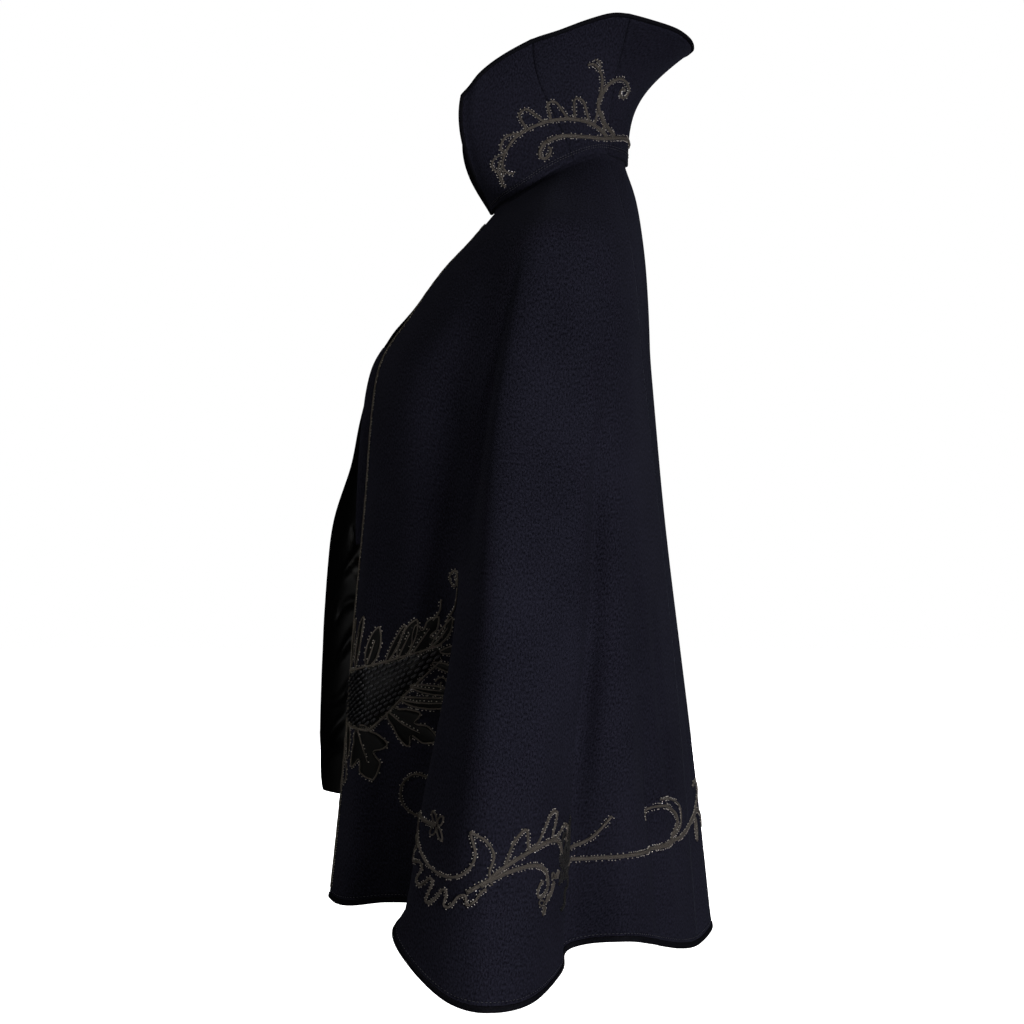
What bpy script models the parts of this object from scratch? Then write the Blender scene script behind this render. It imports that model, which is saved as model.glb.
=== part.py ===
"""An evening cape of heavy dark wool: panels, flaring stand collar, satin lappets and raised trim.

Metres, +Z up, the front towards -Y and the wearer's left towards +X.  The origin is the
centre of the neck, where the cape is carried.
"""
import math
import bpy
import bmesh
from mathutils import Vector

WOOL = 0.0020            # wall of the wool panels
SATIN = 0.0012           # wall of the lappets
COLLAR_WALL = 0.0030     # two layers of wool and the stiffening between them
SEAM = 0.0004            # room between two panels at a seam
LAID = 0.0010            # room under a piece that lies on a panel
LENGTH = 0.90            # cloth from the neck seam to the hem
STAND = 0.0060           # how far the neck rises inside the collar
NECK_WIDTH, NECK_FRONT, NECK_BACK = 0.0700, 0.0740, 0.0730
COLLAR_OUT = COLLAR_WALL + 0.0005
HEM_WIDTH, HEM_FRONT, HEM_BACK = 0.270, 0.215, 0.175
LAPPET_END = 0.872       # how far down the cloth the lappets reach
HEM_BAND = 0.0060        # height of the bound edge at the hem
BINDING = 0.0020         # radius of the bound edge round the collar
RIM = 0.965              # share of the collar's curve that is wool, the rest is its binding

# One row per level of the cape, from the neck to the hem.
# drop, half width, front depth, back depth, height at the front, side and back
RINGS = [
    (0.00, 0.0702, 0.0742, 0.0732, -0.0310, 0.0100, 0.0225),
    (0.08, 0.1300, 0.1010, 0.0850, -0.0640, -0.0270, -0.0150),
    (0.16, 0.1920, 0.1340, 0.0925, -0.1000, -0.0720, -0.0650),
    (0.26, 0.2220, 0.1700, 0.0985, -0.1490, -0.1600, -0.1300),
    (0.36, 0.2400, 0.2080, 0.1034, -0.2090, -0.2550, -0.2090),
    (0.50, 0.2620, 0.2165, 0.1169, -0.3450, -0.3750, -0.3450),
    (0.75, 0.2720, 0.2160, 0.1475, -0.5700, -0.6000, -0.5850),
    (1.00, HEM_WIDTH, HEM_FRONT, HEM_BACK, -0.8000, -0.8000, -0.8000),
]

# One row per crest, flank and valley of the left hem.
# turn from the front, x, y, z, the drop where that fold begins, and how many degrees it
# lies further back at the neck than at the hem
HEM = [
    (0, 0.000, -0.2620, -0.7840, 0.40, 0),
    (15, 0.070, -0.2538, -0.7840, 0.40, 0),
    (20, 0.090, -0.2435, -0.7875, 0.40, 0),
    (26, 0.110, -0.2258, -0.7860, 0.40, 4),
    (35, 0.125, -0.1880, -0.7800, 0.45, 14),
    (46, 0.160, -0.1500, -0.7780, 0.48, 24),
    (56, 0.250, -0.1783, -0.7860, 0.48, 14),
    (65, 0.300, -0.1538, -0.8150, 0.40, 4),
    (74, 0.335, -0.1162, -0.8405, 0.25, -4),
    (83, 0.352, -0.0790, -0.8470, 0.18, -14),
    (93, 0.320, -0.0353, -0.8450, 0.22, -14),
    (101, 0.240, -0.0050, -0.8330, 0.30, -10),
    (110, 0.200, 0.0112, -0.8137, 0.35, -5),
    (121, 0.200, 0.0619, -0.8075, 0.35, 0),
    (133, 0.165, 0.0962, -0.8170, 0.30, 0),
    (148, 0.110, 0.1265, -0.8320, 0.20, 0),
    (163, 0.060, 0.1500, -0.8380, 0.20, 0),
    (180, 0.000, 0.1710, -0.8290, 0.20, 0),
    (197, -0.060, 0.1500, -0.8380, 0.20, 0),
]

# drop, turn of the wool's front edge, turn of the side-back seam
EDGES = [
    (0.00, 5.0, 135.0),
    (0.08, 10.6, 138.0),
    (0.16, 12.6, 141.0),
    (0.26, 14.6, 146.0),
    (0.36, 17.0, 153.0),
    (0.50, 16.6, 162.0),
    (0.75, 16.3, 164.0),
    (1.00, 15.0, 163.0),
]

# One row per section of the left half of the collar.
# turn, z of the lower edge, then x, y, z of the knee, of the flare and of the rim
COLLAR = [
    (5, -0.0290, 0.030, -0.088, -0.004, 0.092, -0.118, 0.040, 0.100, -0.105, 0.090),
    (38, -0.0205, 0.066, -0.080, 0.015, 0.100, -0.098, 0.062, 0.120, -0.075, 0.118),
    (60, -0.0098, 0.079, -0.048, 0.045, 0.102, -0.060, 0.085, 0.133, -0.035, 0.139),
    (90, 0.0125, 0.082, -0.002, 0.070, 0.096, -0.008, 0.108, 0.137, 0.012, 0.1545),
    (120, 0.0280, 0.070, 0.041, 0.082, 0.084, 0.048, 0.118, 0.131, 0.063, 0.1695),
    (150, 0.0270, 0.039, 0.070, 0.088, 0.047, 0.076, 0.116, 0.078, 0.131, 0.164),
    (180, 0.0250, 0.000, 0.0765, 0.090, 0.000, 0.088, 0.108, 0.000, 0.156, 0.158),
    (210, 0.0270, -0.039, 0.070, 0.088, -0.047, 0.076, 0.116, -0.078, 0.131, 0.164),
]
COLLAR_SEAMS = {"front": (5.0, 5.0), "side": (100.0, 62.0), "back": (133.0, 125.0)}

# z, y of the satin at the centre of the front
LAPPET = [
    (-0.700, -0.2720), (-0.536, -0.2674), (-0.436, -0.2618), (-0.372, -0.2539),
    (-0.312, -0.2348), (-0.257, -0.2236), (-0.206, -0.2080), (-0.165, -0.1860),
    (-0.121, -0.1470), (-0.080, -0.1190), (-0.061, -0.1010), (-0.031, -0.0790),
]

# One row per stage of the leaf ring round the plaited bell: share of the way round, then
# how far back from the wool's edge, how far above the hem, the way it points and its reach
LEAF = [
    (0.00, 0.004, 0.2590, 95.0, 0.036),
    (0.22, 0.075, 0.2735, 86.0, 0.050),
    (0.38, 0.135, 0.2855, 70.0, 0.042),
    (0.46, 0.1625, 0.2910, 38.0, 0.030),
    (0.50, 0.1660, 0.2830, 2.0, 0.024),
    (0.54, 0.1620, 0.2735, -30.0, 0.030),
    (0.62, 0.132, 0.2510, -48.0, 0.042),
    (0.76, 0.096, 0.2170, -60.0, 0.055),
    (0.88, 0.068, 0.1945, -74.0, 0.060),
    (1.00, 0.004, 0.1955, -95.0, 0.050),
]
LOBES = 9

DROPS = [0, .03, .07, .115, .16, .21, .265, .32, .38, .44, .5, .56, .62, .68, .74, .8, .86,
         .92, .965, 1.0]
PANEL_COLUMNS = 40
BACK_COLUMNS = 9


def clear_scene():
    for thing in list(bpy.data.objects):
        bpy.data.objects.remove(thing, do_unlink=True)
    for mesh in list(bpy.data.meshes):
        bpy.data.meshes.remove(mesh)


def finish(name, colour, roughness, sheen=0.0):
    material = bpy.data.materials.new(name)
    material.use_nodes = True
    shader = material.node_tree.nodes["Principled BSDF"]
    shader.inputs["Base Color"].default_value = (*colour, 1.0)
    shader.inputs["Roughness"].default_value = roughness
    shader.inputs["Sheen Weight"].default_value = sheen
    return material


def spline(table, at):
    """Smooth values between the rows of a table whose first column is the position."""
    last = len(table) - 1
    at = min(max(at, table[0][0]), table[last][0])
    i = 0
    while i < last - 1 and at > table[i + 1][0]:
        i += 1
    a, b = table[i], table[i + 1]
    span = b[0] - a[0]
    f = (at - a[0]) / span
    before = table[i - 1] if i > 0 else None
    after = table[i + 2] if i + 2 <= last else None
    values = []
    for k in range(1, len(a)):
        slope = (b[k] - a[k]) / span
        sa = slope if before is None else (b[k] - before[k]) / (b[0] - before[0])
        sb = slope if after is None else (after[k] - a[k]) / (after[0] - a[0])
        values.append((2 * f ** 3 - 3 * f * f + 1) * a[k] + (f ** 3 - 2 * f * f + f) * sa * span
                      + (3 * f * f - 2 * f ** 3) * b[k] + (f ** 3 - f * f) * sb * span)
    return values


def collar_foot(turn):
    return spline(COLLAR, turn if turn <= 195 else 360 - turn)[0]


def fold_rows():
    """How far each row of the hem stands from the plain oval, at the hem."""
    rows = []
    for turn, x, y, z, start, lean in HEM:
        s, c = math.sin(math.radians(turn)), math.cos(math.radians(turn))
        depth = HEM_FRONT if c > 0 else HEM_BACK
        rows.append((turn, x - HEM_WIDTH * s, y + depth * c, z + 0.8, start, lean))
    return rows


FOLDS = fold_rows()


def fold(turn, drop):
    """The folds' push away from the plain oval at the hem, and where the fold here begins."""
    rise = min(1 - drop, 0.6)
    rows = [(row[0] + row[5] * rise,) + row[1:5] for row in FOLDS]
    return spline(rows, turn)


def cape(turn, drop):
    """A point of the cape's outer face."""
    side = 1.0
    if turn > 180:
        side, turn = -1.0, 360 - turn
    width, front, back, z_front, z_side, z_back = spline(RINGS, drop)
    s, c = math.sin(math.radians(turn)), math.cos(math.radians(turn))
    depth, z_end = (front, z_front) if c > 0 else (back, z_back)
    x, y, z = width * s, -depth * c, z_side * s * s + z_end * c * c
    dx, dy, dz, start = fold(turn, drop)
    ramp = max(0.0, (drop - start) / (1 - start)) ** 1.25
    x += ramp * dx
    y += ramp * dy
    z += drop ** 3 * dz
    near = max(0.0, 1 - drop / 0.14) ** 2
    if near:
        first = RINGS[0]
        z_neck = first[5] * s * s + (first[4] if c > 0 else first[6]) * c * c
        z += near * (collar_foot(turn) - 0.0025 - z_neck)
    return Vector((side * x, y, z))


def neck_top(turn):
    """The cape's upper edge, inside the collar."""
    s, c = math.sin(math.radians(turn)), math.cos(math.radians(turn))
    depth = NECK_FRONT if c > 0 else NECK_BACK
    return Vector((NECK_WIDTH * s, -depth * c, collar_foot(turn) + STAND))


def turned(turn, drop, distance):
    """The turn that lies this far along the cloth."""
    step = (cape(turn + 0.5, drop) - cape(turn - 0.5, drop)).length
    return turn + distance / step


def normals(grid):
    """Outward directions of a grid whose rows go down and whose columns go front to back."""
    rows, columns = len(grid), len(grid[0])
    result = []
    for i in range(rows):
        up, down = grid[max(i - 1, 0)], grid[min(i + 1, rows - 1)]
        line = []
        for j in range(columns):
            left, right = max(j - 1, 0), min(j + 1, columns - 1)
            across = grid[i][right] - grid[i][left]
            line.append((down[j] - up[j]).cross(across).normalized())
        result.append(line)
    return result


def moved(grid, out, distance):
    """The grid moved out along its directions, by a number or by a number per point."""
    return [[p + n * (distance[i][j] if isinstance(distance, list) else distance)
             for j, (p, n) in enumerate(zip(line, ways))]
            for i, (line, ways) in enumerate(zip(grid, out))]


def solid(name, outer, inner, material, mirrored=False):
    """A closed piece of cloth between an outer and an inner grid of points."""
    rows, columns = len(outer), len(outer[0])
    turn_over = Vector((-1, 1, 1)) if mirrored else Vector((1, 1, 1))
    points = [p * turn_over for grid in (outer, inner) for line in grid for p in line]
    face = rows * columns

    def at(i, j, layer=0):
        return layer * face + i * columns + j

    faces = []
    for i in range(rows - 1):
        for j in range(columns - 1):
            a, b, c, d = at(i, j), at(i, j + 1), at(i + 1, j + 1), at(i + 1, j)
            faces += [(a, b, c), (a, c, d)]
            a, b, c, d = (k + face for k in (a, b, c, d))
            faces += [(c, b, a), (d, c, a)]
    rim = [(0, j) for j in range(columns)] + [(i, columns - 1) for i in range(1, rows)]
    rim += [(rows - 1, j) for j in range(columns - 2, -1, -1)]
    rim += [(i, 0) for i in range(rows - 2, 0, -1)]
    for k, here in enumerate(rim):
        there = rim[(k + 1) % len(rim)]
        a, b = at(*here), at(*there)
        faces += [(a, a + face, b + face), (a, b + face, b)]
    mesh = bpy.data.meshes.new(name)
    mesh.from_pydata([tuple(p) for p in points], [], faces)
    work = bmesh.new()
    work.from_mesh(mesh)
    bmesh.ops.recalc_face_normals(work, faces=work.faces)
    if work.calc_volume(signed=True) < 0:
        bmesh.ops.reverse_faces(work, faces=work.faces)
    work.to_mesh(mesh)
    work.free()
    piece = bpy.data.objects.new(name, mesh)
    piece.data.materials.append(material)
    bpy.context.scene.collection.objects.link(piece)
    return piece


def pair(name, outer, inner, material):
    solid(name + "_left", outer, inner, material)
    solid(name + "_right", outer, inner, material, mirrored=True)


# The wool panels

def panel_turn(drop, u):
    front, seam = spline(EDGES, drop)
    seam = turned(seam, drop, -SEAM / 2)
    return front + (seam - front) * u


def panel_grid():
    share = [j / (PANEL_COLUMNS - 1) for j in range(PANEL_COLUMNS)]
    top = [neck_top(panel_turn(0, u)) for u in share]
    return [top] + [[cape(panel_turn(drop, u), drop) for u in share] for drop in DROPS]


def back_grid():
    lines = []
    for drop in [None] + DROPS:
        level = drop or 0
        seam = turned(spline(EDGES, level)[1], level, SEAM / 2)
        turns = [seam + (360 - 2 * seam) * j / (BACK_COLUMNS - 1) for j in range(BACK_COLUMNS)]
        lines.append([neck_top(t) if drop is None else cape(t, drop) for t in turns])
    return lines


class Panel:
    """The left wool panel's own faceted outer face, for what is laid on it."""

    def __init__(self, grid):
        self.grid = grid[1:]
        self.out = normals(grid)[1:]
        self.reach = []
        for line in self.grid:
            total, lengths = 0.0, [0.0]
            for a, b in zip(line, line[1:]):
                total += (b - a).length
                lengths.append(total)
            self.reach.append(lengths)

    def at(self, along, above, out=0.0):
        """The point this far back from the front edge and this far above the hem."""
        drop = min(max(1 - above / LENGTH, 0.0), 1.0)
        i = 0
        while i < len(DROPS) - 2 and drop > DROPS[i + 1]:
            i += 1
        v = (drop - DROPS[i]) / (DROPS[i + 1] - DROPS[i])
        lengths = [a + (b - a) * v for a, b in zip(self.reach[i], self.reach[i + 1])]
        along = min(max(along, 0.0), lengths[-1])
        j = 0
        while j < len(lengths) - 2 and along > lengths[j + 1]:
            j += 1
        u = (along - lengths[j]) / (lengths[j + 1] - lengths[j])
        weights = ((1 - u, u - v, v, 0) if u > v else (1 - v, 0, u, v - u))
        corners = ((i, j), (i, j + 1), (i + 1, j + 1), (i + 1, j))
        point, way = Vector(), Vector()
        for w, (r, k) in zip(weights, corners):
            point += self.grid[r][k] * w
            way += self.out[r][k] * w
        return point + way.normalized() * out


# The collar

def collar(turn, rise):
    """A point of the collar's outer face, rise 0 at the foot and 1 at the rim."""
    side = 1.0
    if turn > 180:
        side, turn = -1.0, 360 - turn
    low, kx, ky, kz, fx, fy, fz, rx, ry, rz = spline(COLLAR, turn)
    s, c = math.sin(math.radians(turn)), math.cos(math.radians(turn))
    depth = (NECK_FRONT if c > 0 else NECK_BACK) + COLLAR_OUT
    foot = Vector(((NECK_WIDTH + COLLAR_OUT) * s, -depth * c, low))
    knee, flare, rim = Vector((kx, ky, kz)), Vector((fx, fy, fz)), Vector((rx, ry, rz))
    a = 1 - rise
    point = foot * a ** 3 + knee * 3 * a * a * rise + flare * 3 * a * rise ** 2 + rim * rise ** 3
    point.x *= side
    return point


def collar_grid(first, second, columns, rows=11):
    lines = []
    for i in range(rows):
        rise = (1 - i / (rows - 1)) * RIM
        start = first[0] + (first[1] - first[0]) * rise
        end = second[0] + (second[1] - second[0]) * rise
        gap_a = SEAM / 2 / (collar(start + 0.5, rise) - collar(start - 0.5, rise)).length
        gap_b = SEAM / 2 / (collar(end + 0.5, rise) - collar(end - 0.5, rise)).length
        start, end = start + gap_a, end - gap_b
        lines.append([collar(start + (end - start) * j / (columns - 1), rise)
                      for j in range(columns)])
    return lines


def tube(name, path, radius, material, sides=6, flat=1.0):
    """A closed round cord along a path, its section turned with the path."""
    points, faces = [], []
    side_way = None
    for i, here in enumerate(path):
        ahead = (path[min(i + 1, len(path) - 1)] - path[max(i - 1, 0)]).normalized()
        if side_way is None:
            side_way = ahead.orthogonal().normalized()
        side_way = (side_way - ahead * side_way.dot(ahead)).normalized()
        other = ahead.cross(side_way)
        for k in range(sides):
            angle = 2 * math.pi * k / sides
            points.append(here + side_way * radius * math.cos(angle)
                          + other * radius * flat * math.sin(angle))
    last = len(path) - 1
    for i in range(last):
        for k in range(sides):
            a, b = i * sides + k, i * sides + (k + 1) % sides
            c, d = b + sides, a + sides
            faces += [(a, b, c), (a, c, d)]
    for k in range(1, sides - 1):
        faces.append((0, k + 1, k))
        faces.append((last * sides, last * sides + k, last * sides + k + 1))
    mesh = bpy.data.meshes.new(name)
    mesh.from_pydata([tuple(p) for p in points], [], faces)
    work = bmesh.new()
    work.from_mesh(mesh)
    bmesh.ops.recalc_face_normals(work, faces=work.faces)
    if work.calc_volume(signed=True) < 0:
        bmesh.ops.reverse_faces(work, faces=work.faces)
    work.to_mesh(mesh)
    work.free()
    piece = bpy.data.objects.new(name, mesh)
    piece.data.materials.append(material)
    bpy.context.scene.collection.objects.link(piece)


def collar_rim_path(front, side, back):
    """The line just outside the collar's front edges and rim, from one side to the other."""
    reach = BINDING + 0.0007
    border = [(front, i, 0, front[i][1]) for i in range(len(front) - 1, -1, -1)]
    for k, grid in enumerate((front, side, back)):
        last = len(grid[0]) if k < 2 else len(grid[0]) // 2 + 1
        border += [(grid, 0, j, grid[1][j]) for j in range(1, last)]
    ways = [normals(grid)[i][j] for grid, i, j, _ in border]
    points = [grid[i][j] for grid, i, j, _ in border]
    left = []
    for k, (grid, i, j, inner) in enumerate(border):
        sides = []
        for a, b in ((max(k - 1, 0), k), (k, min(k + 1, len(points) - 1))):
            if a == b:
                continue
            out = (points[b] - points[a]).cross(ways[k]).normalized()
            sides.append(out if out.dot(points[k] - inner) > 0 else -out)
        out = sum(sides, Vector()) / len(sides)
        out /= out.length_squared
        left.append(points[k] - ways[k] * COLLAR_WALL / 2 + out * reach)
    left[-1].x = 0.0
    right = [Vector((-p.x, p.y, p.z)) for p in reversed(left[:-1])]
    return left + right


# The satin lappets

def lappet_grid():
    lines = []
    rows = [d for d in DROPS if 0.03 <= d < 0.8] + [0.8, 0.835, 0.858, LAPPET_END]
    columns = 9
    for drop in rows:
        line = []
        for j in range(columns):
            u = j / (columns - 3)
            level = drop
            if drop > 0.8:
                end = LAPPET_END - 0.07 * max(0.0, (0.45 - min(u, 1.0)) / 0.45) ** 2
                level = 0.8 + (drop - 0.8) / (LAPPET_END - 0.8) * (end - 0.8)
            edge = spline(EDGES, level)[0]
            step = (cape(edge + 1, level) - cape(edge, level)).length
            inward = (Vector((0, 0, cape(edge, level).z)) - cape(edge, level)).normalized()
            tucked = cape(edge + 0.006 / step, level) + inward * (WOOL + 0.0012)
            beside = cape(edge - 0.003 / step, level) + inward * (WOOL + 0.0016)
            centre = Vector((0.0025, spline(LAPPET, beside.z)[0], beside.z))
            if j == columns - 1:
                line.append(tucked)
            elif j == columns - 2:
                line.append((beside + tucked) / 2)
            else:
                point = centre + (beside - centre) * u
                bulge = 0.006 * math.sin(math.pi * u) * min(1.0, level / 0.3)
                line.append(point + Vector((0.3, -0.95, 0)) * bulge)
        lines.append(line)
    return lines


def band_grid():
    """The narrow wool band that stands forward of the wool's edge over the lappets."""
    lines = []
    levels = [d for d in DROPS if 0.32 <= d <= 0.56]
    for drop in levels:
        edge = spline(EDGES, drop)[0]
        step = (cape(edge + 1, drop) - cape(edge, drop)).length
        here = cape(edge - 0.0005 / step, drop)
        full = math.sin(math.pi * min(1.0, max(0.0, (drop - 0.30) / 0.28))) ** 0.6
        reach = 0.006 + 0.013 * full
        lines.append([here + Vector((-0.72, -0.69, 0)) * reach * k for k in (1.0, 0.5, 0.0)])
    return lines


# Trim laid on the wool

def shell_height(share):
    """Lower and upper edge of the plaited bell, share 0 at the wool's edge to 1 at its tip."""
    low = 0.199 + 0.078 * max(0.0, (share - 0.42) / 0.58)
    return low, 0.2565 + 0.0305 * share


def shell_grid(panel, ridges=12, columns=14):
    """The bell-shaped plaited panel, its cord rows fanned out from the tip."""
    low, high = [], []
    rows = 2 * ridges + 1
    for i in range(rows):
        a, b = [], []
        for j in range(columns):
            share = j / (columns - 1)
            bottom, top = shell_height(share)
            along, above = 0.004 + 0.155 * share, top + (bottom - top) * i / (rows - 1)
            rise = 0.0026 * min(1.0, (top - bottom) / 0.035) * (i % 2)
            a.append(panel.at(along, above, LAID))
            b.append(panel.at(along, above, LAID + 0.0012 + rise))
        low.append(a)
        high.append(b)
    return high, low


def leaf_grid(panel, rows=71, columns=4):
    """The satin leaf lobes round the plaited panel, from the wool's edge and back to it."""
    low, high = [], []
    for i in range(rows):
        share = i / (rows - 1)
        along, above, angle, reach = spline(LEAF, share)
        lobe = abs(math.sin(math.pi * LOBES * share + 0.35)) ** 0.7
        reach *= 0.42 + 0.58 * lobe
        way_x, way_z = math.cos(math.radians(angle)), math.sin(math.radians(angle))
        a, b = [], []
        for j in range(columns):
            p = j / (columns - 1)
            x, z = along + way_x * reach * p, above + way_z * reach * p
            x = max(x, 0.0015 + 0.0005 * p)
            edge = 0.0014 if 0 < j < columns - 1 and 0 < i < rows - 1 else 0.0
            a.append(panel.at(x, z, LAID))
            b.append(panel.at(x, z, LAID + 0.0012 + edge))
        low.append(a)
        high.append(b)
    return high, low


def hem_strip(grid):
    """The narrow bound edge on the outside of the hem, on the panel's own last facets."""
    out = normals(grid)
    last, above, ways, up = grid[-1], grid[-2], out[-1], out[-2]
    low, high = [], []
    for share in (1 - HEM_BAND / (0.035 * LENGTH), 0.99):
        points = [a.lerp(b, share) for a, b in zip(above, last)]
        ahead = [a.lerp(b, share).normalized() for a, b in zip(up, ways)]
        low.append([p + n * 0.0005 for p, n in zip(points, ahead)])
        high.append([p + n * 0.0015 for p, n in zip(points, ahead)])
    return high, low


def build():
    clear_scene()
    wool = finish("wool", (0.006, 0.007, 0.012), 0.85, 0.3)
    satin = finish("satin", (0.004, 0.004, 0.005), 0.28)
    applique = finish("applique_satin", (0.030, 0.031, 0.030), 0.4)
    plait = finish("plaited_cord", (0.008, 0.008, 0.010), 0.6)
    trim = finish("binding", (0.005, 0.005, 0.008), 0.7)

    grid = panel_grid()
    pair("front", grid, moved(grid, normals(grid), -WOOL), wool)
    middle = back_grid()
    solid("back", middle, moved(middle, normals(middle), -WOOL), wool)

    a, b, c = COLLAR_SEAMS["front"], COLLAR_SEAMS["side"], COLLAR_SEAMS["back"]
    front, side = collar_grid(a, b, 11), collar_grid(b, c, 7)
    nape = collar_grid(c, (360 - c[0], 360 - c[1]), 13)
    pair("collar_front", front, moved(front, normals(front), -COLLAR_WALL), wool)
    pair("collar_side", side, moved(side, normals(side), -COLLAR_WALL), wool)
    solid("collar_back", nape, moved(nape, normals(nape), -COLLAR_WALL), wool)
    tube("collar_binding", collar_rim_path(front, side, nape), BINDING, trim)

    satin_grid = lappet_grid()
    pair("lappet", satin_grid, moved(satin_grid, normals(satin_grid), -SATIN), satin)

    high, low = hem_strip(grid)
    pair("hem_binding", high, low, trim)
    high, low = hem_strip(middle)
    solid("hem_binding_back", high, low, trim)

    band = band_grid()
    pair("front_band", band, moved(band, normals(band), -WOOL), wool)

    panel = Panel(grid)
    high, low = shell_grid(panel)
    pair("smocked_panel", high, low, plait)
    high, low = leaf_grid(panel)
    pair("leaf_applique", high, low, applique)


build()
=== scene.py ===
"""An evening cape of dark milled wool, worn open over satin lappets and worked with cord and beads.

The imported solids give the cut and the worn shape.  Each cloth is made again here as a thin
shell on the same form, with its soft creases, and dressed with its own finish.
"""
from __future__ import annotations

import functools
import logging
import math
from dataclasses import dataclass, field
from enum import Enum
from typing import Callable, Iterable, Sequence

import bpy
import numpy as np
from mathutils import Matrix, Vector


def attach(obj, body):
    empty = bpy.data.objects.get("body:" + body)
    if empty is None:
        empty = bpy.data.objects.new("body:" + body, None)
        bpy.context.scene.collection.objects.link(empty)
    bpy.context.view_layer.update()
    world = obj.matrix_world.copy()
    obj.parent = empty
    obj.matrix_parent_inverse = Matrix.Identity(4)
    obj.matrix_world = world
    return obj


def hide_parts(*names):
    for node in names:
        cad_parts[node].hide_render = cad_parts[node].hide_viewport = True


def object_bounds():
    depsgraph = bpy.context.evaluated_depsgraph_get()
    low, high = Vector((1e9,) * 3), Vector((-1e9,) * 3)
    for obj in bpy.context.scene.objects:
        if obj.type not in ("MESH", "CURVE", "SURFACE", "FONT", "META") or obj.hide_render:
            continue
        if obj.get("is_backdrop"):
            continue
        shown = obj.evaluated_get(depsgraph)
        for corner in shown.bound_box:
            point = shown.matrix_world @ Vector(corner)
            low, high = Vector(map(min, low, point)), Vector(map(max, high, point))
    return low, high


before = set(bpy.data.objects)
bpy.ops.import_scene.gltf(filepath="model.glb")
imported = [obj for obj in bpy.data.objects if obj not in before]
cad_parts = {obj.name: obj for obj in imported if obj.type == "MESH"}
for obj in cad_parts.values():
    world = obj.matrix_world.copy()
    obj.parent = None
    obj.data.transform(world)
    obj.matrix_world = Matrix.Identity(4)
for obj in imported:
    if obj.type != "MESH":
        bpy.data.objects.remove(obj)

CAD_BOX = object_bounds()
LOG = logging.getLogger("cape")

WOOL_WALL = 0.0018
COLLAR_WALL = 0.0028
CLOTH_LENGTH = 0.90
NECK_STAND = 0.006           # the cape's upper edge stands this far up inside the collar
NECK_UNDER = 0.0025          # the cape's neck lies this far under the collar's foot
NECK_EASE = 0.14             # drop at which the collar's foot stops shaping the cape
FOLD_RISE = 1.25             # how late the hem's folds grow on the way down
LEAN_LIMIT = 0.6             # the most by which a fold leans, as a share of its table value
DEGREE_WIDTH = 0.0047        # metres of cloth to a degree of turn at the hem
COLLAR_DEGREE = 0.00160      # metres of collar to a degree of turn
COLLAR_HEIGHT = 0.163
CORD_LIFT = 0.0001           # how far above the wool a cord lies
LEAF_LIFT = 0.0013           # the same for a vein that lies on a satin leaf
BEADS_LEFT_OUT = 0.30        # share of the beads' places that stay empty
EDGE_CLEAR = 0.0012          # no leaf's cord comes nearer than this to the wool's edge
STITCH = (0.0014, 0.00035, 0.0003)   # half length, half width and half height


class Side(Enum):
    """Which half of the cape a piece belongs to."""

    LEFT = 1
    RIGHT = -1

    @property
    def word(self) -> str:
        """The side's name, as the solids use it."""
        return self.name.lower()


class Hold(Enum):
    """How a sheet of cloth is held."""

    DRAPED = "draped"
    HUNG = "hung"
    LAID = "laid"
    STRETCHED = "stretched"


# The form: the same tables as the solids

RINGS = np.array([
    # drop, half width, front depth, back depth, height at the front, side and back
    (0.00, 0.0702, 0.0742, 0.0732, -0.0310, 0.0100, 0.0225),
    (0.08, 0.1300, 0.1010, 0.0850, -0.0640, -0.0270, -0.0150),
    (0.16, 0.1920, 0.1340, 0.0925, -0.1000, -0.0720, -0.0650),
    (0.26, 0.2220, 0.1700, 0.0985, -0.1490, -0.1600, -0.1300),
    (0.36, 0.2400, 0.2080, 0.1034, -0.2090, -0.2550, -0.2090),
    (0.50, 0.2620, 0.2165, 0.1169, -0.3450, -0.3750, -0.3450),
    (0.75, 0.2720, 0.2160, 0.1475, -0.5700, -0.6000, -0.5850),
    (1.00, 0.2700, 0.2150, 0.1750, -0.8000, -0.8000, -0.8000),
])

HEM = np.array([
    # turn from the front, x, y, z, drop where the fold begins, lean towards the neck
    (0, 0.000, -0.2620, -0.7840, 0.40, 0),
    (15, 0.070, -0.2538, -0.7840, 0.40, 0),
    (20, 0.090, -0.2435, -0.7875, 0.40, 0),
    (26, 0.110, -0.2258, -0.7860, 0.40, 4),
    (35, 0.125, -0.1880, -0.7800, 0.45, 14),
    (46, 0.160, -0.1500, -0.7780, 0.48, 24),
    (56, 0.250, -0.1783, -0.7860, 0.48, 14),
    (65, 0.300, -0.1538, -0.8150, 0.40, 4),
    (74, 0.335, -0.1162, -0.8405, 0.25, -4),
    (83, 0.352, -0.0790, -0.8470, 0.18, -14),
    (93, 0.320, -0.0353, -0.8450, 0.22, -14),
    (101, 0.240, -0.0050, -0.8330, 0.30, -10),
    (110, 0.200, 0.0112, -0.8137, 0.35, -5),
    (121, 0.200, 0.0619, -0.8075, 0.35, 0),
    (133, 0.165, 0.0962, -0.8170, 0.30, 0),
    (148, 0.110, 0.1265, -0.8320, 0.20, 0),
    (163, 0.060, 0.1500, -0.8380, 0.20, 0),
    (180, 0.000, 0.1710, -0.8290, 0.20, 0),
    (197, -0.060, 0.1500, -0.8380, 0.20, 0),
])

EDGES = np.array([
    # drop, turn of the front edge, turn of the side-back seam
    (0.00, 5.0, 135.0),
    (0.08, 10.6, 138.0),
    (0.16, 12.6, 141.0),
    (0.26, 14.6, 146.0),
    (0.36, 17.0, 153.0),
    (0.50, 16.6, 162.0),
    (0.75, 16.3, 164.0),
    (1.00, 15.0, 163.0),
])

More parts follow.
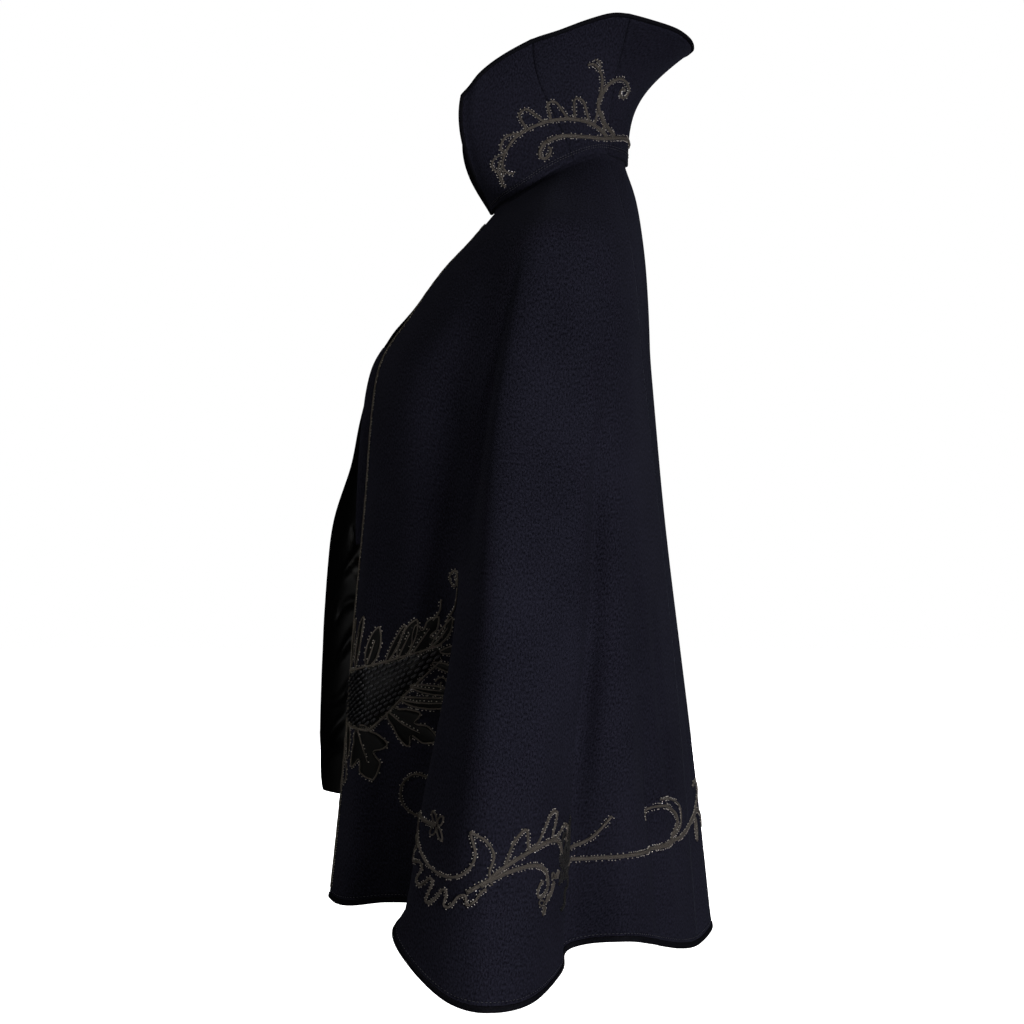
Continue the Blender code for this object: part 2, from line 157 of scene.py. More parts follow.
COLLAR = np.array([
    # turn, z of the foot, then x, y, z of the knee, of the flare and of the rim
    (5, -0.0290, 0.030, -0.088, -0.004, 0.092, -0.118, 0.040, 0.100, -0.105, 0.090),
    (38, -0.0205, 0.066, -0.080, 0.015, 0.100, -0.098, 0.062, 0.120, -0.075, 0.118),
    (60, -0.0098, 0.079, -0.048, 0.045, 0.102, -0.060, 0.085, 0.133, -0.035, 0.139),
    (90, 0.0125, 0.082, -0.002, 0.070, 0.096, -0.008, 0.108, 0.137, 0.012, 0.1545),
    (120, 0.0280, 0.070, 0.041, 0.082, 0.084, 0.048, 0.118, 0.131, 0.063, 0.1695),
    (150, 0.0270, 0.039, 0.070, 0.088, 0.047, 0.076, 0.116, 0.078, 0.131, 0.164),
    (180, 0.0250, 0.000, 0.0765, 0.090, 0.000, 0.088, 0.108, 0.000, 0.156, 0.158),
    (210, 0.0270, -0.039, 0.070, 0.088, -0.047, 0.076, 0.116, -0.078, 0.131, 0.164),
])
COLLAR_SEAMS = {"front": (5.0, 5.0), "side": (100.0, 62.0), "back": (133.0, 125.0)}
NECK = (0.0700, 0.0740, 0.0730)      # half width, front depth, back depth
COLLAR_OUT = 0.0035
RIM = 0.965

LAPPET = np.array([
    # z, y of the satin at the centre of the front
    (-0.700, -0.2720), (-0.536, -0.2674), (-0.436, -0.2618), (-0.372, -0.2539),
    (-0.312, -0.2348), (-0.257, -0.2236), (-0.206, -0.2080), (-0.165, -0.1860),
    (-0.121, -0.1470), (-0.080, -0.1190), (-0.061, -0.1010), (-0.031, -0.0790),
])
LAPPET_END = 0.872

# Soft creases of the wool: turn and drop at each end, half width and depth in metres
CREASES = np.array([
    (55, 0.18, 54, 1.14, 0.026, -0.0135),
    (78, 0.16, 75, 1.02, 0.022, 0.0085),
    (30, 0.26, 26, 1.02, 0.034, 0.0060),
    (44, 0.24, 45, 0.96, 0.022, 0.0030),
    (110, 0.40, 107, 1.14, 0.014, -0.0125),
    (134, 0.66, 142, 1.12, 0.019, -0.0115),
    (94, 0.50, 96, 1.05, 0.022, 0.0035),
    (112, 0.20, 116, 0.58, 0.017, -0.0040),
    (128, 0.50, 131, 0.98, 0.014, -0.0035),
    (144, 0.62, 149, 0.93, 0.012, -0.0045),
    (96, 0.42, 104, 0.80, 0.018, 0.0030),
    (30, 0.44, 34, 0.70, 0.016, -0.0025),
    (52, 0.12, 40, 0.30, 0.015, -0.0022),
    (86, 0.08, 80, 0.24, 0.018, 0.0018),
    (172, 0.34, 174, 0.90, 0.016, -0.0032),
    (158, 0.14, 165, 0.46, 0.014, -0.0020),
])


def spline(table: np.ndarray, at: np.ndarray | float) -> np.ndarray:
    """Smooth values between the rows of a table whose first column is the position.

    Args:
        table: Rows in rising order of their first column.
        at: The positions that are wanted.

    Returns:
        One row of the other columns for each position.
    """
    xs, ys = table[:, 0], table[:, 1:]
    at = np.clip(np.atleast_1d(np.asarray(at, float)), xs[0], xs[-1])
    slopes = np.empty_like(ys)
    slopes[1:-1] = (ys[2:] - ys[:-2]) / (xs[2:] - xs[:-2])[:, None]
    slopes[0] = (ys[1] - ys[0]) / (xs[1] - xs[0])
    slopes[-1] = (ys[-1] - ys[-2]) / (xs[-1] - xs[-2])
    i = np.clip(np.searchsorted(xs, at, side="left") - 1, 0, len(xs) - 2)
    span = (xs[i + 1] - xs[i])[:, None]
    f = (at - xs[i])[:, None] / span
    return ((2 * f ** 3 - 3 * f ** 2 + 1) * ys[i] + (f ** 3 - 2 * f ** 2 + f) * span * slopes[i]
            + (3 * f ** 2 - 2 * f ** 3) * ys[i + 1] + (f ** 3 - f ** 2) * span * slopes[i + 1])


def unit(v: np.ndarray) -> np.ndarray:
    """Vectors of length one."""
    return v / np.maximum(np.linalg.norm(v, axis=-1, keepdims=True), 1e-12)


def travel(points: np.ndarray) -> np.ndarray:
    """Distance along a line from its first point to each of its points."""
    return np.concatenate([[0], np.cumsum(np.linalg.norm(np.diff(points, axis=0), axis=1))])


def left_half(turns: np.ndarray) -> np.ndarray:
    """Turns with those of the wearer's right carried to the left."""
    return np.where(turns > 180, 360 - turns, turns)


def sin_cos(degrees: np.ndarray) -> tuple[np.ndarray, np.ndarray]:
    """Sine and cosine of angles in degrees."""
    return np.sin(np.radians(degrees)), np.cos(np.radians(degrees))


def grid_normals(grid: np.ndarray) -> np.ndarray:
    """Outward directions of a grid whose rows go down and whose columns go front to back."""
    down = np.gradient(grid, axis=0)
    across = np.gradient(grid, axis=1)
    return unit(np.cross(down, across))


class CapeForm:
    """The worn shape of the cape, as a surface of turn round the figure and drop down it."""

    def __init__(self) -> None:
        s, c = sin_cos(HEM[:, 0])
        depth = np.where(c > 0, RINGS[-1, 2], RINGS[-1, 3])
        self.folds = np.column_stack([
            HEM[:, 0], HEM[:, 1] - RINGS[-1, 1] * s, HEM[:, 2] + depth * c,
            HEM[:, 3] - RINGS[-1, 4], HEM[:, 4], HEM[:, 5]])

    @staticmethod
    def foot(turns: np.ndarray) -> np.ndarray:
        """Height of the collar's foot."""
        return spline(COLLAR, np.where(turns <= 195, turns, 360 - turns))[:, 0]

    def row(self, turns: np.ndarray, drop: float) -> np.ndarray:
        """The cape's outer face along one level.

        Args:
            turns: Degrees from the centre front, past 180 on the wearer's right.
            drop: Share of the way from the neck to the hem.

        Returns:
            One point for each turn.
        """
        side = np.where(turns > 180, -1.0, 1.0)
        t = left_half(turns)
        width, front, back, z_front, z_side, z_back = spline(RINGS, drop)[0]
        s, c = sin_cos(t)
        ahead = c > 0
        x = width * s
        y = -np.where(ahead, front, back) * c
        z = z_side * s * s + np.where(ahead, z_front, z_back) * c * c
        rows = self.folds[:, :5].copy()
        rows[:, 0] += self.folds[:, 5] * min(1 - drop, LEAN_LIMIT)
        dx, dy, dz, start = spline(rows, t).T
        ramp = np.maximum(0.0, (drop - start) / (1 - start)) ** FOLD_RISE
        x, y, z = x + ramp * dx, y + ramp * dy, z + drop ** 3 * dz
        near = max(0.0, 1 - drop / NECK_EASE) ** 2
        if near:
            first = RINGS[0]
            z_neck = first[5] * s * s + np.where(ahead, first[4], first[6]) * c * c
            z = z + near * (self.foot(t) - NECK_UNDER - z_neck)
        return np.column_stack([side * x, y, z])

    def neck_top(self, turns: np.ndarray) -> np.ndarray:
        """The cape's upper edge, inside the collar."""
        s, c = sin_cos(turns)
        depth = np.where(c > 0, NECK[1], NECK[2])
        return np.column_stack([NECK[0] * s, -depth * c, self.foot(turns) + NECK_STAND])

    @staticmethod
    def crease(turns: np.ndarray, drop: float) -> np.ndarray:
        """How far the soft creases move the cloth in or out at one level."""
        t = left_half(turns)
        scale = DEGREE_WIDTH * (0.35 + 0.65 * drop)
        total = np.zeros_like(t)
        for t0, d0, t1, d1, width, depth in CREASES:
            share = np.clip((drop - d0) / (d1 - d0), 0, 1)
            middle = t0 + (t1 - t0) * share + 1.3 * math.sin(9 * drop + t0)
            beyond = max(0.0, d0 - drop, drop - d1) * CLOTH_LENGTH
            across = (t - middle) * scale
            fade = math.sin(math.pi * min(1, max(0, 0.08 + 0.84 * share))) ** 0.8
            uneven = 1 + 0.25 * math.sin(23 * drop + t0)
            total += depth * fade * uneven * np.exp(-(across ** 2 + beyond ** 2) / width ** 2)
        total += 0.0007 * np.sin(t * 0.21 + 5 * drop) * np.sin(11 * drop + t * 0.05)
        return total * min(1.0, drop / 0.08) * min(1.0, max(0.0, (1.02 - drop) / 0.05))

    def facing(self, turns: np.ndarray, drop: float,
               line: Callable[[np.ndarray, float], np.ndarray]) -> np.ndarray:
        """Outward directions of a line on the form, the same for every piece that meets there."""
        high, low = max(0.0, drop - 0.004), min(1.0, drop + 0.004)
        across = line(turns + 0.4, drop) - line(turns - 0.4, drop)
        down = line(turns, low) - line(turns, high)
        return unit(np.cross(down, across))

    def creased(self, turns: np.ndarray, drop: float) -> np.ndarray:
        """The outer face along one level with its creases."""
        return (self.row(turns, drop) + self.facing(turns, drop, self.row)
                * self.crease(turns, drop)[:, None])

    def grid(self, turn_rows: Callable[[float], np.ndarray], drops: Sequence[float],
             stand: bool = False) -> tuple[np.ndarray, np.ndarray]:
        """A creased grid of points and its outward directions.

        Args:
            turn_rows: The turns wanted at a drop.
            drops: The levels, from the neck down.
            stand: Whether the short stand inside the collar comes first.

        Returns:
            The points and the directions, row by row.
        """
        lines = [self.creased(turn_rows(d), d) for d in drops]
        ways = [self.facing(turn_rows(d), d, self.creased) for d in drops]
        if stand:
            lines.insert(0, self.neck_top(turn_rows(0.0)))
            ways.insert(0, unit(lines[0] * np.array([1.0, 1.0, 0.0])))
        return np.array(lines), np.array(ways)


FORM = CapeForm()


class Skin:
    """A chart of half the cape: distance back from the wool's edge, height above the hem."""

    def __init__(self) -> None:
        self.drops = np.concatenate([np.linspace(0, 0.4, 60, endpoint=False),
                                     np.linspace(0.4, 1.0, 150)])
        share = even_columns(260, lambda u: self.turns(u, 1.0))
        self.points, self.out = FORM.grid(lambda d: self.turns(share, d), self.drops)
        steps = np.linalg.norm(np.diff(self.points, axis=1), axis=2)
        self.reach = np.concatenate([np.zeros((len(steps), 1)), np.cumsum(steps, axis=1)], axis=1)

    @staticmethod
    def turns(share: np.ndarray, drop: float) -> np.ndarray:
        """Turns from the front edge to the centre back."""
        front = spline(EDGES, drop)[0, 0]
        return front + (180.0 - front) * share

    def at(self, along: np.ndarray, above: np.ndarray) -> tuple[np.ndarray, np.ndarray]:
        """Points and outward directions of places given on the chart."""
        drop = np.clip(1 - np.asarray(above) / CLOTH_LENGTH, 0, 1)
        i = np.clip(np.searchsorted(self.drops, drop) - 1, 0, len(self.drops) - 2)
        v = ((drop - self.drops[i]) / (self.drops[i + 1] - self.drops[i]))[:, None]
        lengths = self.reach[i] * (1 - v) + self.reach[i + 1] * v
        along = np.clip(along, 0, lengths[:, -1])[:, None]
        j = np.clip((lengths <= along).sum(axis=1) - 1, 0, lengths.shape[1] - 2)
        k = np.arange(len(j))
        u = (along[:, 0] - lengths[k, j]) / (lengths[k, j + 1] - lengths[k, j])
        u = u[:, None]

        def mix(a: np.ndarray) -> np.ndarray:
            """Values of a grid between its corners."""
            return ((a[i, j] * (1 - u) + a[i, j + 1] * u) * (1 - v)
                    + (a[i + 1, j] * (1 - u) + a[i + 1, j + 1] * u) * v)

        return mix(self.points), unit(mix(self.out))


def even_columns(count: int, turns: Callable[[np.ndarray], np.ndarray]) -> np.ndarray:
    """Shares whose columns stand evenly along the hem, eased towards even turns."""
    share = np.linspace(0, 1, 2000)
    reach = travel(FORM.row(turns(share), 1.0))
    reach = 0.72 * reach / reach[-1] + 0.28 * share
    return np.interp(np.linspace(0, 1, count), reach, share)


# Meshes

def make_mesh(name: str, points: np.ndarray, faces: Sequence[Sequence[int]],
              uv: np.ndarray | None = None, mirrored: bool = False) -> bpy.types.Object:
    """A smooth-shaded mesh object.

    Args:
        name: The piece's name.
        points: Vertex positions.
        faces: Vertex numbers, anticlockwise from outside.
        uv: One pair per vertex, in metres of cloth.
        mirrored: Whether the piece is turned over to the wearer's right.

    Returns:
        The new object.
    """
    points = np.asarray(points, float).reshape(-1, 3)
    if mirrored:
        points = turned_over(points)
        faces = [tuple(reversed(face)) for face in faces]
    mesh = bpy.data.meshes.new(name)
    mesh.from_pydata(points.tolist(), [], [tuple(int(k) for k in face) for face in faces])
    if uv is not None:
        layer = mesh.uv_layers.new(name="UVMap")
        loops = np.empty(len(mesh.loops), dtype=np.int64)
        mesh.loops.foreach_get("vertex_index", loops)
        layer.data.foreach_set("uv", np.asarray(uv, float).reshape(-1, 2)[loops].ravel())
    mesh.polygons.foreach_set("use_smooth", np.ones(len(mesh.polygons), dtype=bool))
    mesh.update()
    piece = bpy.data.objects.new(name, mesh)
    bpy.context.scene.collection.objects.link(piece)
    return piece


def shell_faces(rows: int, columns: int, inward: bool = False) -> list[tuple[int, ...]]:
    """Faces of a closed shell of two grids, the outer one first."""
    full = rows * columns
    faces: list[tuple[int, ...]] = []
    for i in range(rows - 1):
        for j in range(columns - 1):
            a, b = i * columns + j, i * columns + j + 1
            c, d = b + columns, a + columns
            faces.append((a, d, c, b))
            faces.append((a + full, b + full, c + full, d + full))
    rim = [j for j in range(columns)]
    rim += [i * columns + columns - 1 for i in range(1, rows)]
    rim += [(rows - 1) * columns + j for j in range(columns - 2, -1, -1)]
    rim += [i * columns for i in range(rows - 2, 0, -1)]
    for k, a in enumerate(rim):
        b = rim[(k + 1) % len(rim)]
        faces.append((a, b, b + full, a + full))
    return [tuple(reversed(face)) for face in faces] if inward else faces


def cloth(name: str, outer: np.ndarray, inner: np.ndarray, uv: np.ndarray,
          mirrored: bool = False, inward: bool = False) -> bpy.types.Object:
    """A closed piece of cloth between an outer and an inner grid."""
    rows, columns = outer.shape[:2]
    points = np.concatenate([outer.reshape(-1, 3), inner.reshape(-1, 3)])
    both = np.concatenate([uv.reshape(-1, 2)] * 2)
    piece = make_mesh(name, points, shell_faces(rows, columns, inward), both, mirrored)
    smooth = np.ones(len(piece.data.polygons), dtype=bool)
    smooth[2 * (rows - 1) * (columns - 1):] = False
    piece.data.polygons.foreach_set("use_smooth", smooth)
    return piece


def grid_uv(grid: np.ndarray) -> np.ndarray:
    """Cloth coordinates in metres, measured along the grid's lines."""
    across = np.linalg.norm(np.diff(grid, axis=1), axis=2)
    down = np.linalg.norm(np.diff(grid, axis=0), axis=2).mean(axis=1)
    u = np.concatenate([np.zeros((len(grid), 1)), np.cumsum(across, axis=1)], axis=1)
    u -= u.mean(axis=1, keepdims=True)
    v = -np.concatenate([[0], np.cumsum(down)])
    return np.stack([u, np.repeat(v[:, None], grid.shape[1], axis=1)], axis=2)


def turned_over(points: np.ndarray) -> np.ndarray:
    """Points carried to the wearer's right."""
    return points * np.array([-1.0, 1.0, 1.0])


# Finishes

def add_node(tree: bpy.types.NodeTree, kind: str, **values: object) -> bpy.types.Node:
    """A new node with some inputs set, their names in lower case."""
    node = tree.nodes.new(kind)
    for name, value in values.items():
        node.inputs[name.replace("_", " ").title()].default_value = value
    return node


class Effect:
    """A shader group, made once, that gives a tone mask and a normal."""

    def group(self) -> bpy.types.NodeTree:
        """The group, shared by the materials that use it."""
        found = bpy.data.node_groups.get(self.name)
        if found:
            return found
        tree = bpy.data.node_groups.new(self.name, "ShaderNodeTree")
        tree.interface.new_socket("Tone", in_out="OUTPUT", socket_type="NodeSocketFloat")
        tree.interface.new_socket("Normal", in_out="OUTPUT", socket_type="NodeSocketVector")
        place = add_node(tree, "ShaderNodeUVMap")
        place.uv_map = "UVMap"
        height, tone, bump = self.pattern(tree, place.outputs["UV"])
        out = add_node(tree, "NodeGroupOutput")
        tree.links.new(height, bump.inputs["Height"])
        tree.links.new(tone, out.inputs["Tone"])
        tree.links.new(bump.outputs["Normal"], out.inputs["Normal"])
        return tree


@dataclass(frozen=True)
class Nap(Effect):
    """A fine fibre surface with a few softer clouds of tone."""

    name: str
    scale: float
    stretch: tuple[float, float]
    strength: float
    distance: float
    spread: float = 0.2

    def pattern(self, tree: bpy.types.NodeTree, place: bpy.types.NodeSocket) -> tuple:
        """The height, the tone and the bump node of the fibres."""
        turn = add_node(tree, "ShaderNodeMapping", scale=(*self.stretch, 1.0))
        fibre = add_node(tree, "ShaderNodeTexNoise", scale=self.scale, detail=4.0, roughness=0.62)
        cloud = add_node(tree, "ShaderNodeTexNoise", scale=self.scale * 0.011, detail=3.0)
        blend = add_node(tree, "ShaderNodeMix", factor=0.17)
        spread = add_node(tree, "ShaderNodeMapRange", from_min=0.5 - self.spread,
                          from_max=0.5 + self.spread)
        bump = add_node(tree, "ShaderNodeBump", strength=self.strength, distance=self.distance)
        tree.links.new(place, turn.inputs["Vector"])
        tree.links.new(turn.outputs["Vector"], fibre.inputs["Vector"])
        tree.links.new(place, cloud.inputs["Vector"])
        tree.links.new(fibre.outputs["Fac"], blend.inputs["A"])
        tree.links.new(cloud.outputs["Fac"], blend.inputs["B"])
        tree.links.new(blend.outputs["Result"], spread.inputs["Value"])
        return fibre.outputs["Fac"], spread.outputs["Result"], bump


@dataclass(frozen=True)
class Twist(Effect):
    """Fine slanting ridges of wrapped or twisted thread, with painted shade in the hollows between
    them.
    """

    name: str
    pitch: float
    slant: float
    strength: float

    def pattern(self, tree: bpy.types.NodeTree, place: bpy.types.NodeSocket) -> tuple:
        """The height, the tone and the bump node of the ridges; the tone is the height itself,
        painted shade in the hollows.
        """
        turn = add_node(tree, "ShaderNodeMapping", rotation=(0.0, 0.0, self.slant))
        wave = add_node(tree, "ShaderNodeTexWave", scale=0.31 / self.pitch, distortion=1.4,
                        detail=1.5)
        bump = add_node(tree, "ShaderNodeBump", strength=self.strength, distance=self.pitch * 0.4)
        tree.links.new(place, turn.inputs["Vector"])
        tree.links.new(turn.outputs["Vector"], wave.inputs["Vector"])
        return wave.outputs["Fac"], wave.outputs["Fac"], bump


@dataclass(frozen=True)
class Finish:
    """One surface: two tones mixed by its group's mask, and the shader's plain values."""

    name: str
    dark: tuple[float, float, float]
    light: tuple[float, float, float]
    roughness: float
    effect: Effect | None = None
    specular: float = 0.5
    sheen: float = 0.0
    sheen_roughness: float = 0.5
    sheen_tint: tuple[float, float, float] = (1.0, 1.0, 1.0)
    anisotropic: float = 0.0

    def material(self) -> bpy.types.Material:
        """The material, made once."""
        found = bpy.data.materials.get("look_" + self.name)
        if found:
            return found
        made = bpy.data.materials.new("look_" + self.name)
        made.use_nodes = True
        nodes, links = made.node_tree.nodes, made.node_tree.links
        shader = nodes["Principled BSDF"]
        shader.inputs["Base Color"].default_value = (*self.light, 1.0)
        shader.inputs["Roughness"].default_value = self.roughness
        shader.inputs["Specular IOR Level"].default_value = self.specular
        shader.inputs["Sheen Weight"].default_value = self.sheen
        shader.inputs["Sheen Roughness"].default_value = self.sheen_roughness
        shader.inputs["Sheen Tint"].default_value = (*self.sheen_tint, 1.0)
        shader.inputs["Anisotropic"].default_value = self.anisotropic
        made.diffuse_color = (*self.light, 1.0)
        if self.effect:
            effect = nodes.new("ShaderNodeGroup")
            effect.node_tree = self.effect.group()
            tones = nodes.new("ShaderNodeMix")
            tones.data_type = "RGBA"
            tones.inputs["A"].default_value = (*self.dark, 1.0)
            tones.inputs["B"].default_value = (*self.light, 1.0)
            links.new(effect.outputs["Tone"], tones.inputs["Factor"])
            links.new(tones.outputs["Result"], shader.inputs["Base Color"])
            links.new(effect.outputs["Normal"], shader.inputs["Normal"])
        return made


WOOL_NAP = Nap("milled_nap", 600.0, (1.0, 0.6), 0.50, 0.0006, 0.13)
SATIN_WEAVE = Nap("satin_floats", 2600.0, (1.0, 0.22), 0.10, 0.0001)
# The wrap's tone paints shade into the hollows between the wraps of the cords, plaits and stitches.
CORD_WRAP_SHADE = Twist("wrapped_thread_painted_shade", 0.00085, 0.35, 0.8)

WOOL = Finish("wool", (0.0022, 0.0022, 0.0034), (0.0100, 0.0100, 0.0158), 0.96, WOOL_NAP,
              specular=0.0, sheen=0.012, sheen_roughness=0.4, sheen_tint=(0.7, 0.78, 1.0))
SATIN = Finish("satin", (0.0004, 0.0004, 0.0005), (0.0008, 0.0008, 0.0009), 0.30, SATIN_WEAVE,
               specular=0.08, anisotropic=0.3)
LEAF_SATIN = Finish("leaf_satin", (0.0010, 0.0010, 0.0011), (0.0034, 0.0034, 0.0036), 0.50,
                    SATIN_WEAVE, specular=0.05, anisotropic=0.3)
BINDING = Finish("binding", (0.0008, 0.0008, 0.0012), (0.0030, 0.0030, 0.0044), 0.8, WOOL_NAP,
                 specular=0.03)
GIMP = Finish("gimp_cord", (0.0070, 0.0060, 0.0050), (0.082, 0.071, 0.059), 0.62, CORD_WRAP_SHADE,
              specular=0.15)
# A lighter copy of the gimp cord: painted light on the front motif and the front edge, which face
# away from the key lamp.
GIMP_PAINTED_LIGHT = Finish("gimp_painted_light", (0.0120, 0.0102, 0.0084), (0.135, 0.118, 0.096), 0.62, CORD_WRAP_SHADE,
                   specular=0.2)
# A darker copy of the gimp cord: painted shade for the knot in the hollow of the fold.
GIMP_PAINTED_SHADE = Finish("gimp_painted_shade", (0.0016, 0.0015, 0.0015), (0.0075, 0.0070, 0.0066), 0.55,
                   CORD_WRAP_SHADE, specular=0.25)
PLAIT = Finish("plait", (0.0018, 0.0018, 0.0024), (0.021, 0.0215, 0.024), 0.50, CORD_WRAP_SHADE,
               specular=0.35)
THREAD = Finish("thread", (0.003, 0.003, 0.004), (0.011, 0.011, 0.014), 0.6, CORD_WRAP_SHADE)
# The cut beads' pale base colour is a painted glint, so each bead shows as a bright point beside
# its cord.
BEAD_PAINTED_GLINT = Finish("cut_bead_painted_glint", (0.24, 0.225, 0.20), (0.25, 0.23, 0.20), 0.22, None,
              specular=0.9)
# Darkened beads: painted shade for the knot in the hollow of the fold.
BEAD_PAINTED_SHADE = Finish("bead_painted_shade", (0.01, 0.01, 0.01), (0.010, 0.011, 0.010), 0.22, None,
                   specular=0.8)


def dress(piece: bpy.types.Object, finish: Finish) -> bpy.types.Object:
    """Give a piece its finish and its place on the garment."""
    piece.data.materials.clear()
    piece.data.materials.append(finish.material())
    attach(piece, "root")
    LOG.info("%s: %d faces", piece.name, len(piece.data.polygons))
    return piece


# Wool pieces

@dataclass
class WoolPanels:
    """The two front panels, from the front edge round to the side-back seam, and the back."""

    rows: int = 150
    columns: int = 138
    back_columns: int = 64
    made: dict[str, np.ndarray] = field(default_factory=dict)

    def drops(self) -> np.ndarray:
        """Levels of the rows, closer together near the neck."""
        return np.concatenate([np.linspace(0, 0.12, 20, endpoint=False),
                               np.linspace(0.12, 1.0, self.rows - 20)])

    @staticmethod
    def seam(drop: float) -> float:
        """Turn of the side-back seam."""
        return spline(EDGES, drop)[0, 1]

    def build(self) -> list[bpy.types.Object]:
        """Make the three wool pieces.

        Returns:
            The left, the right and the back piece.
        """
        share = even_columns(self.columns, lambda u: self.front_turns(u, 1.0))
        grid, out = FORM.grid(lambda d: self.front_turns(share, d), self.drops(), stand=True)
        self.made["front"] = grid
        uv = grid_uv(grid)
        pieces = []
        for side in Side:
            mirrored = side is Side.RIGHT
            pieces.append(cloth(f"wool_front_{side.word}", grid, grid - out * WOOL_WALL, uv,
                                mirrored))
            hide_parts(f"front_{side.word}")
        share = np.linspace(0, 1, self.back_columns)
        grid, out = FORM.grid(lambda d: self.back_turns(share, d), self.drops(), stand=True)
        self.made["back"] = grid
        back = cloth("wool_back", grid, grid - out * WOOL_WALL, grid_uv(grid))
        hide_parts("back")
        return pieces + [back]

    def front_turns(self, share: np.ndarray, drop: float) -> np.ndarray:
        """Turns across a front panel."""
        front = spline(EDGES, drop)[0, 0]
        return front + (self.seam(drop) - front) * share

    def back_turns(self, share: np.ndarray, drop: float) -> np.ndarray:
        """Turns across the back, from seam to seam."""
        start = self.seam(drop)
        return start + (360 - 2 * start) * share

    def dress(self) -> None:
        """Build the pieces and finish them."""
        left, right, back = self.build()
        for piece, key in ((left, "front"), (right, "front"), (back, "back")):
            dress(piece, WOOL)


@dataclass
class FrontBands:
    """The narrow wool bands that stand forward of the wool's edge over the lappets."""

    FORWARD = np.array([-0.72, -0.69, 0])
    OUTWARD = np.array([0.69, -0.72, 0])
    rows: int = 60

    def build(self) -> np.ndarray:
        """The band's outer grid on the wearer's left."""
        lines = []
        for drop in np.linspace(0.32, 0.56, self.rows):
            edge = spline(EDGES, drop)[0, 0]
            a, b = FORM.row(np.array([edge, edge + 1.0]), drop)
            here = a + (a - b) / np.linalg.norm(b - a) * 0.0005
            full = math.sin(math.pi * min(1.0, max(0.0, (drop - 0.30) / 0.28))) ** 0.6
            reach = 0.006 + 0.013 * full
            share = np.linspace(1, 0, 7)[:, None]
            bow = np.sin(np.pi * share) * 0.0012 * full
            lines.append(here + self.FORWARD * reach * share + self.OUTWARD * bow)
        return np.array(lines)

    def dress(self) -> None:
        """Build both bands and finish them."""
        grid = self.build()
        for side in Side:
            piece = cloth(f"wool_band_{side.word}", grid,
                          grid - grid_normals(grid) * WOOL_WALL, grid_uv(grid),
                          side is Side.RIGHT)
            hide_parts(f"front_band_{side.word}")
            dress(piece, WOOL)


# The collar

def collar_points(turns: np.ndarray, rise: np.ndarray) -> np.ndarray:
    """Points of the collar's outer face, rise 0 at the foot and 1 at the rim."""
    turns, rise = np.broadcast_arrays(np.asarray(turns, float), np.asarray(rise, float))
    shape = turns.shape
    t, a = turns.ravel(), 1 - rise.ravel()[:, None]
    side = np.where(t > 180, -1.0, 1.0)
    t = left_half(t)
    rows = spline(COLLAR, t)
    s, c = sin_cos(t)
    depth = np.where(c > 0, NECK[1], NECK[2]) + COLLAR_OUT
    foot = np.column_stack([(NECK[0] + COLLAR_OUT) * s, -depth * c, rows[:, 0]])
    r = 1 - a
    points = (foot * a ** 3 + rows[:, 1:4] * 3 * a * a * r + rows[:, 4:7] * 3 * a * r * r
              + rows[:, 7:10] * r ** 3)
    points[:, 0] *= side
    return points.reshape(*shape, 3)


def collar_wave(turns: np.ndarray, rise: np.ndarray) -> np.ndarray:
    """How far the collar's soft unevenness moves its face."""
    t = left_half(turns)
    lift = np.clip(rise, 0, 1) ** 1.5
    roll = 0.0011 * np.sin(t * 0.095 + 0.6) + 0.0007 * np.sin(t * 0.23 + 2.1)
    pull = -0.0012 * np.exp(-((t - 84) / 9) ** 2 - ((rise - 0.55) / 0.25) ** 2)
    return lift * roll + pull


class CollarChart:
    """A chart of the collar in metres: forward from the centre back, up from the foot."""

    def at(self, along: np.ndarray, above: np.ndarray) -> tuple[np.ndarray, np.ndarray]:
        """Points and outward directions of places given on the chart."""
        turn = 180 - np.asarray(along) / COLLAR_DEGREE
        rise = np.asarray(above) / COLLAR_HEIGHT
        here = collar_points(turn, rise)
        back = collar_points(turn + 0.4, rise) - collar_points(turn - 0.4, rise)
        up = collar_points(turn, rise + 0.01) - collar_points(turn, rise - 0.01)
        out = unit(np.cross(back, up))
        return here + out * collar_wave(turn, rise)[..., None], out


